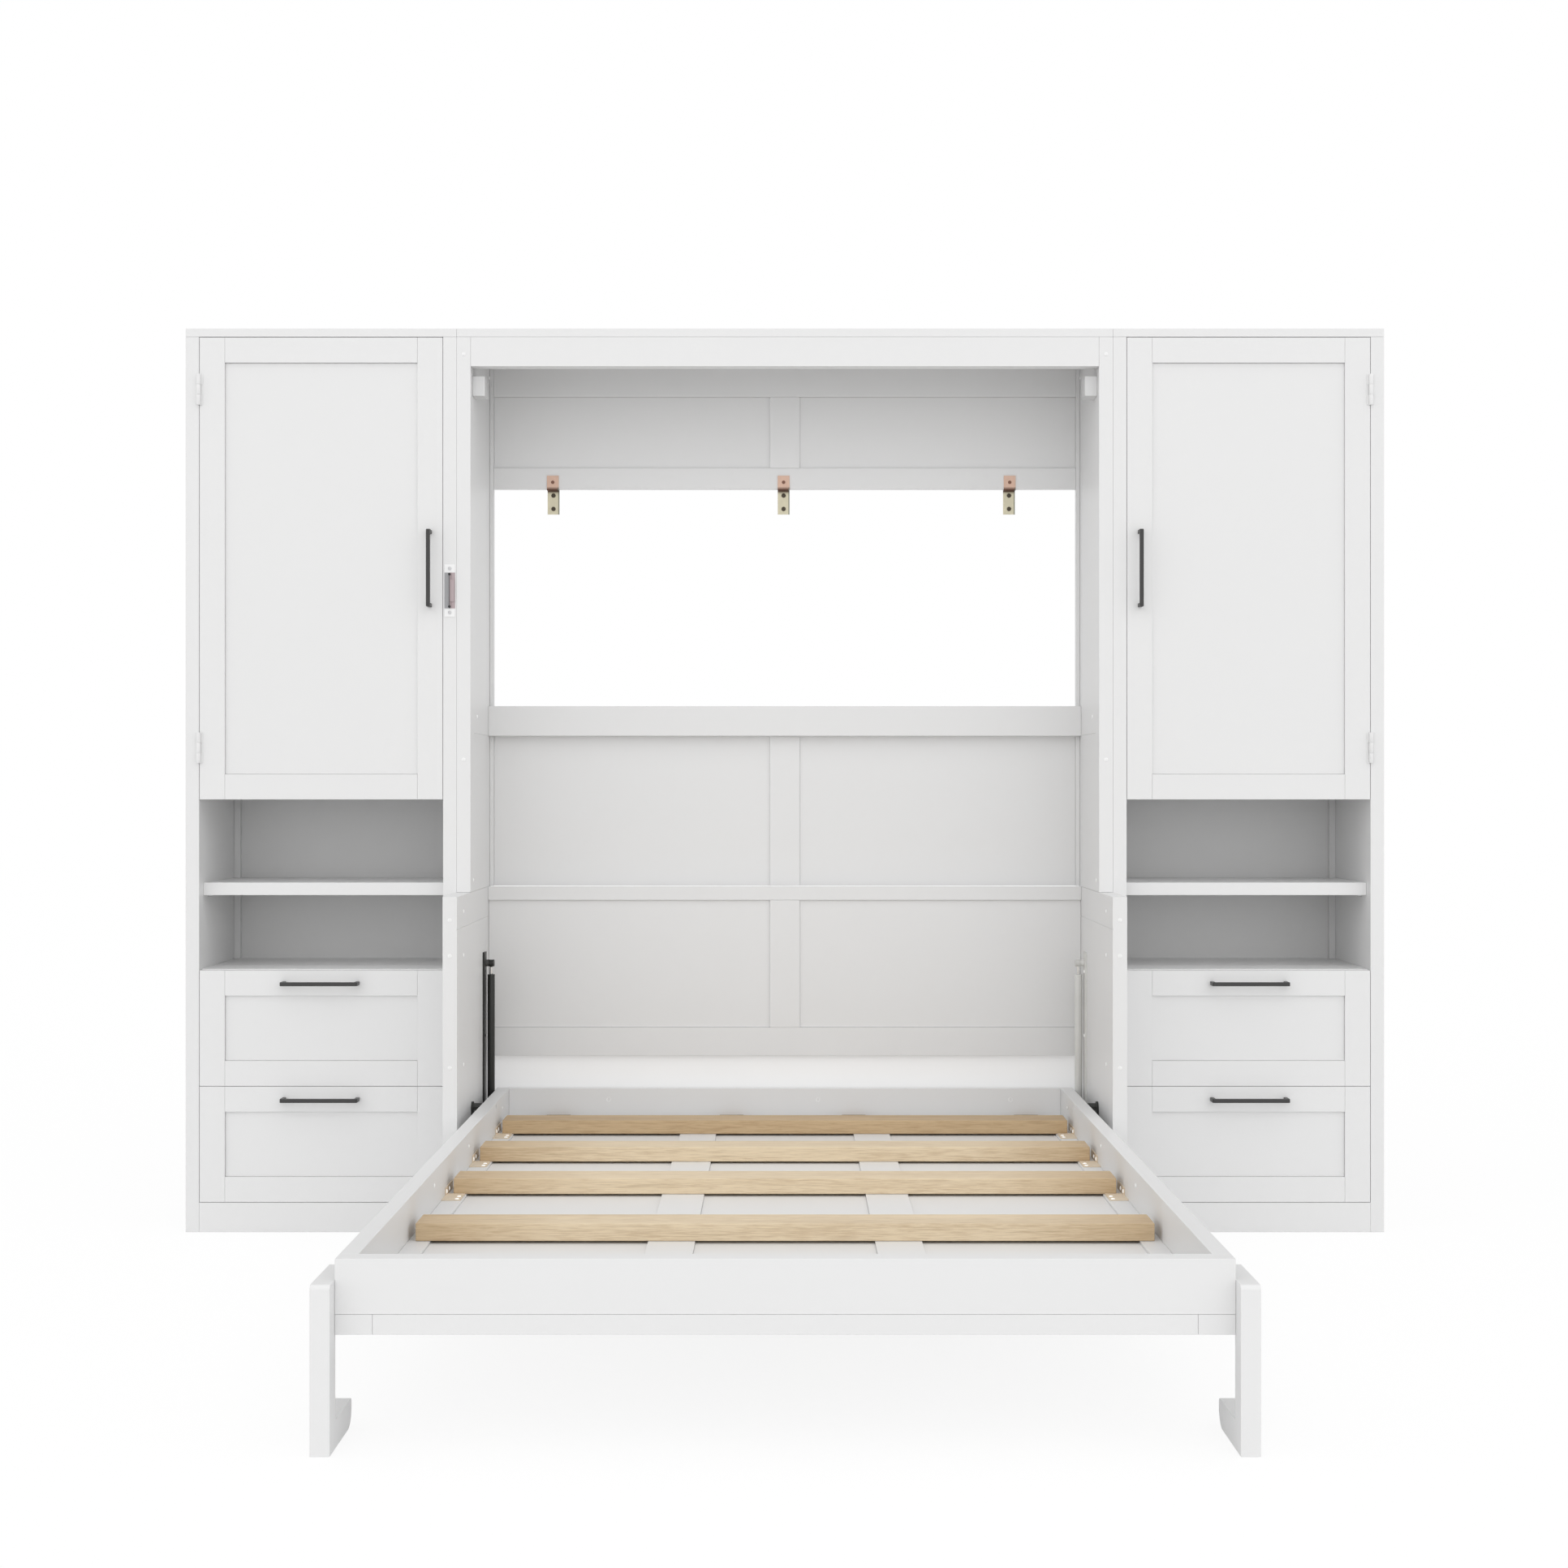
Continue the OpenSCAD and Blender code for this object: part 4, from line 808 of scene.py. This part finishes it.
class WALLBED_OT_caps(bpy.types.Operator):
    """Model the white screw caps on the sides and the bed's rails"""
    bl_idname = "wall_bed.caps"
    bl_label = "Model the screw caps"

    def execute(self, context):
        look = context.scene.wall_bed_fittings
        # The caps glow a little on their sideways faces: a painted glint
        white = moulded("white caps with painted glint", CAP_WHITE, 0.27, True)
        spots = [((SIDE_FACE_X, FRONT_Y + y * MM, z * MM), INWARD) for y, z in SIDE_CAPS]
        spots += [((UPPER_EDGE_X, FRONT_Y, z * MM), FORWARD) for z in UPPER_EDGE_CAPS_Z]
        spots += [((UPPER_EDGE_X, LOWER_FRONT_Y, z * MM), FORWARD) for z in LOWER_EDGE_CAPS_Z]
        master = cap_master(look.cap_radius, look.cap_height, look.cap_sides)
        fit(master, mirrored(spots), "cabinet_caps", white, "cabinet")

        spots = [((RAIL_FACE_X, FRONT_Y + y * MM, RAIL_CAPS_Z * MM), INWARD) for y in RAIL_CAPS_Y]
        master = cap_master(look.cap_radius * 0.9, look.cap_height, look.cap_sides)
        fit(master, mirrored(spots), "rail_caps", white, "bed")

        spots = [((x * MM, HEAD_FACE_Y, HEAD_CAPS_Z * MM), FORWARD) for x in HEAD_CAPS_X]
        master = cap_master(6 * MM, 1.4 * MM, look.cap_sides, ring=True)
        fit(master, spots, "head_rail_caps", white, "bed")
        return {"FINISHED"}


class WALLBED_OT_screws(bpy.types.Operator):
    """Model the screws of the brackets, latch, handles and strut plates, and the shelf pegs"""
    bl_idname = "wall_bed.screws"
    bl_label = "Model the screws"

    def execute(self, context):
        sides = context.scene.wall_bed_fittings.cap_sides
        # These pale screws glow a little: a painted glint
        bright = moulded("bright screws with painted glint", SCREW_WHITE, 0.35)
        steel = plated("steel screws", SCREW_STEEL, 0.3)
        bronze = powder_coat("bronze screws", BRONZE, 0.35)
        copper = powder_coat("copper screws", COPPER, 0.35)
        black = powder_coat("black screws", JET, 0.3)

        # wall brackets: two screws in the lower tab, one in the upper
        a, b = low("wall_brackets"), high("wall_brackets")
        spots = [((x * MM, b.y - 2.5 * MM, a.z + up * MM), FORWARD)
                 for x in BRACKET_X for up in (14, 48)]
        master = screw_master(5.6 * MM, 1.8 * MM, sides)
        fit(master, spots, "bracket_screws", bronze, "cabinet")
        spots = [((x * MM, a.y, b.z - 17 * MM), FORWARD) for x in BRACKET_X]
        master = screw_master(4.4 * MM, 1.6 * MM, sides)
        fit(master, spots, "bracket_top_screws", copper, "cabinet")

        # latch: a bright screw at each end of the plate, a black rivet at each end of its barrel
        a, b = low("latch_plate"), high("latch_plate")
        middle = (a + b) / 2
        spots = [((middle.x, FRONT_Y - 1.5 * MM, z), FORWARD)
                 for z in (a.z + 10 * MM, b.z - 10 * MM)]
        master = screw_master(4.4 * MM, 1.6 * MM, sides)
        fit(master, spots, "latch_screws", steel, "cabinet")
        spots = [((middle.x, a.y + 0.5 * MM, middle.z + side * RIVET_REACH * MM), FORWARD)
                 for side in (-1, 1)]
        master = cap_master(3.1 * MM, 1.6 * MM, sides)
        fit(master, spots, "latch_pins", black, "cabinet")

        # slat brackets: two screws in the flat leg and two in the upright one
        a, b = low("slat_brackets"), high("slat_brackets")
        spots = []
        for y in SLATS_Y:
            slat_y = FRONT_Y + y * MM
            spots += [((b.x - 30.4 * MM, slat_y - back * MM, a.z + 2 * MM), UPWARD)
                      for back in (35, 61.6)]
            spots += [((b.x - 2 * MM, slat_y - back * MM, a.z + 8.5 * MM), INWARD)
                      for back in (12.6, -21)]
        master = screw_master(4.3 * MM, 1.6 * MM, sides)
        fit(master, mirrored(spots), "slat_bracket_screws", bright, "bed")

        # handles: a screw behind each foot, on the back of the door or the drawer front
        inset = Vector((HANDLE_BAR, 0, HANDLE_BAR)) / 2
        for node, body in HANDLES:
            feet = (low(node) + inset, high(node) - inset)
            spots = [((foot.x, FRONT_Y + BOARD_THICKNESS, foot.z), BACKWARD) for foot in feet]
            master = screw_master(3.8 * MM, 1.6 * MM, sides)
            fit(master, spots, f"{node}_screws", steel, body)

        # shelves: four pegs under each loose shelf
        a, b = low("loose_shelves"), high("loose_shelves")
        outer_x, inner_x = b.x + 0.4 * MM, low("right_inner_side").x + 32 * MM
        spots = []
        for under in SHELF_UNDERSIDES_Z:
            for y in (a.y + 45 * MM, b.y - 45 * MM):
                z = (under - 2.7) * MM
                spots += [((outer_x, y, z), INWARD), ((inner_x, y, z), OUTWARD)]
        master = peg_master(2.6 * MM, 10 * MM, sides)
        fit(master, mirrored(spots), "shelf_pegs", steel, "cabinet")

        # strut plates: a screw in each hole
        for side, sign, material in (("left", -1, black), ("right", 1, bright)):
            node = f"{side}_strut_plate"
            place_x, place_y = sign * (SIDE_FACE_X - 5 * MM), high(node).y - 25 * MM
            spots = [((place_x, place_y, z * MM), (-sign, 0, 0)) for z in STRUT_HOLES_Z]
            master = screw_master(3.6 * MM, 1.4 * MM, sides)
            fit(master, spots, f"{node}_screws", material, "cabinet")
        return {"FINISHED"}


class WALLBED_OT_stage(bpy.types.Operator):
    """Floor, light and camera"""
    bl_idname = "wall_bed.stage"
    bl_label = "Set the stage"

    def execute(self, context):
        look = context.scene.wall_bed_studio
        clear_selection()
        bpy.ops.mesh.primitive_plane_add(size=60, location=(0, 0, -0.5 * MM))
        floor = bpy.context.object
        floor.name = "studio_floor"
        f = Finish("studio floor")
        cloud = f.noise(f.place((1, 1, 1)), 0.4, 1.0)
        grey = f.mix(cloud, shade(WHITE, 0.97), WHITE)
        matt = f.node("ShaderNodeBsdfDiffuse", {}, {"Color": grey})
        white = f.node("ShaderNodeEmission", {}, {"Strength": 1.0})
        shown = f.blend(0.88, matt, white)
        bounce = f.node("ShaderNodeBsdfDiffuse", {}, {"Color": (*shade(WHITE, look.ground), 1.0)})
        f.finish(f.blend(f.unlit(), bounce, shown))
        floor.data.materials.append(f.material)

        world = context.scene.world or bpy.data.worlds.new("studio")
        context.scene.world = world
        g = Graph(world, "ShaderNodeOutputWorld")
        sky, front, behind, backdrop = [
            g.node("ShaderNodeBackground", {}, {"Color": (*WHITE, 1.0), "Strength": strength})
            for strength in (look.sky, look.front, look.behind, 1.0)]
        backward = g.axis(1, "Generated")
        lighting = g.blend((backward * -1.0).math("MAXIMUM", 0.0), sky, front)
        lighting = g.blend(backward.math("MAXIMUM", 0.0), lighting, behind)
        g.finish(g.blend(g.unlit(), lighting, backdrop))

        lamp = bpy.data.lights.new("key", "AREA")
        lamp.shape = "RECTANGLE"
        lamp.size, lamp.size_y = 3.4, 2.4
        lamp.energy = look.key
        holder = bpy.data.objects.new("key", lamp)
        bpy.context.collection.objects.link(holder)
        place, aim = Vector((0, -5.4, 2.2)), Vector((0, 0, 1.0))
        holder.location = place
        holder.rotation_euler = (aim - place).to_track_quat("-Z", "Y").to_euler()

        camera = bpy.data.cameras.new("camera")
        camera.sensor_width = 36
        camera.lens = look.lens
        camera.shift_y = look.shift_y
        camera.clip_end = 100
        holder = bpy.data.objects.new("camera", camera)
        bpy.context.collection.objects.link(holder)
        holder.location = (look.camera_x, FRONT_Y - look.camera_distance, look.camera_height)
        holder.rotation_euler = (math.radians(90), 0, 0)
        context.scene.camera = holder
        context.scene.view_settings.view_transform = "Standard"
        return {"FINISHED"}


STEPS = (
    WALLBED_OT_boards,
    WALLBED_OT_timber,
    WALLBED_OT_metal,
    WALLBED_OT_handles,
    WALLBED_OT_caps,
    WALLBED_OT_screws,
    WALLBED_OT_stage,
)


class WALLBED_PT_panel(bpy.types.Panel):
    """Lists the steps that dress the wall bed"""
    bl_idname = "WALLBED_PT_panel"
    bl_label = "Wall Bed"
    bl_space_type = "VIEW_3D"
    bl_region_type = "UI"
    bl_category = "Wall Bed"

    def draw(self, context):
        for name, group in SETTINGS:
            box = self.layout.box()
            for prop in group.__annotations__:
                box.prop(getattr(context.scene, name), prop)
        for step in STEPS:
            self.layout.operator(step.bl_idname)


def register():
    for name, group in SETTINGS:
        bpy.utils.register_class(group)
        setattr(bpy.types.Scene, name, PointerProperty(type=group))
    for item in (*STEPS, WALLBED_PT_panel):
        bpy.utils.register_class(item)


def unregister():
    for item in reversed((*STEPS, WALLBED_PT_panel)):
        bpy.utils.unregister_class(item)
    for name, group in reversed(SETTINGS):
        delattr(bpy.types.Scene, name)
        bpy.utils.unregister_class(group)


def main():
    register()
    bpy.ops.wall_bed.boards()
    bpy.ops.wall_bed.timber()
    bpy.ops.wall_bed.metal()
    bpy.ops.wall_bed.handles()
    bpy.ops.wall_bed.caps()
    bpy.ops.wall_bed.screws()
    bpy.ops.wall_bed.stage()
    clear_selection()


if __name__ == "__main__":
    main()
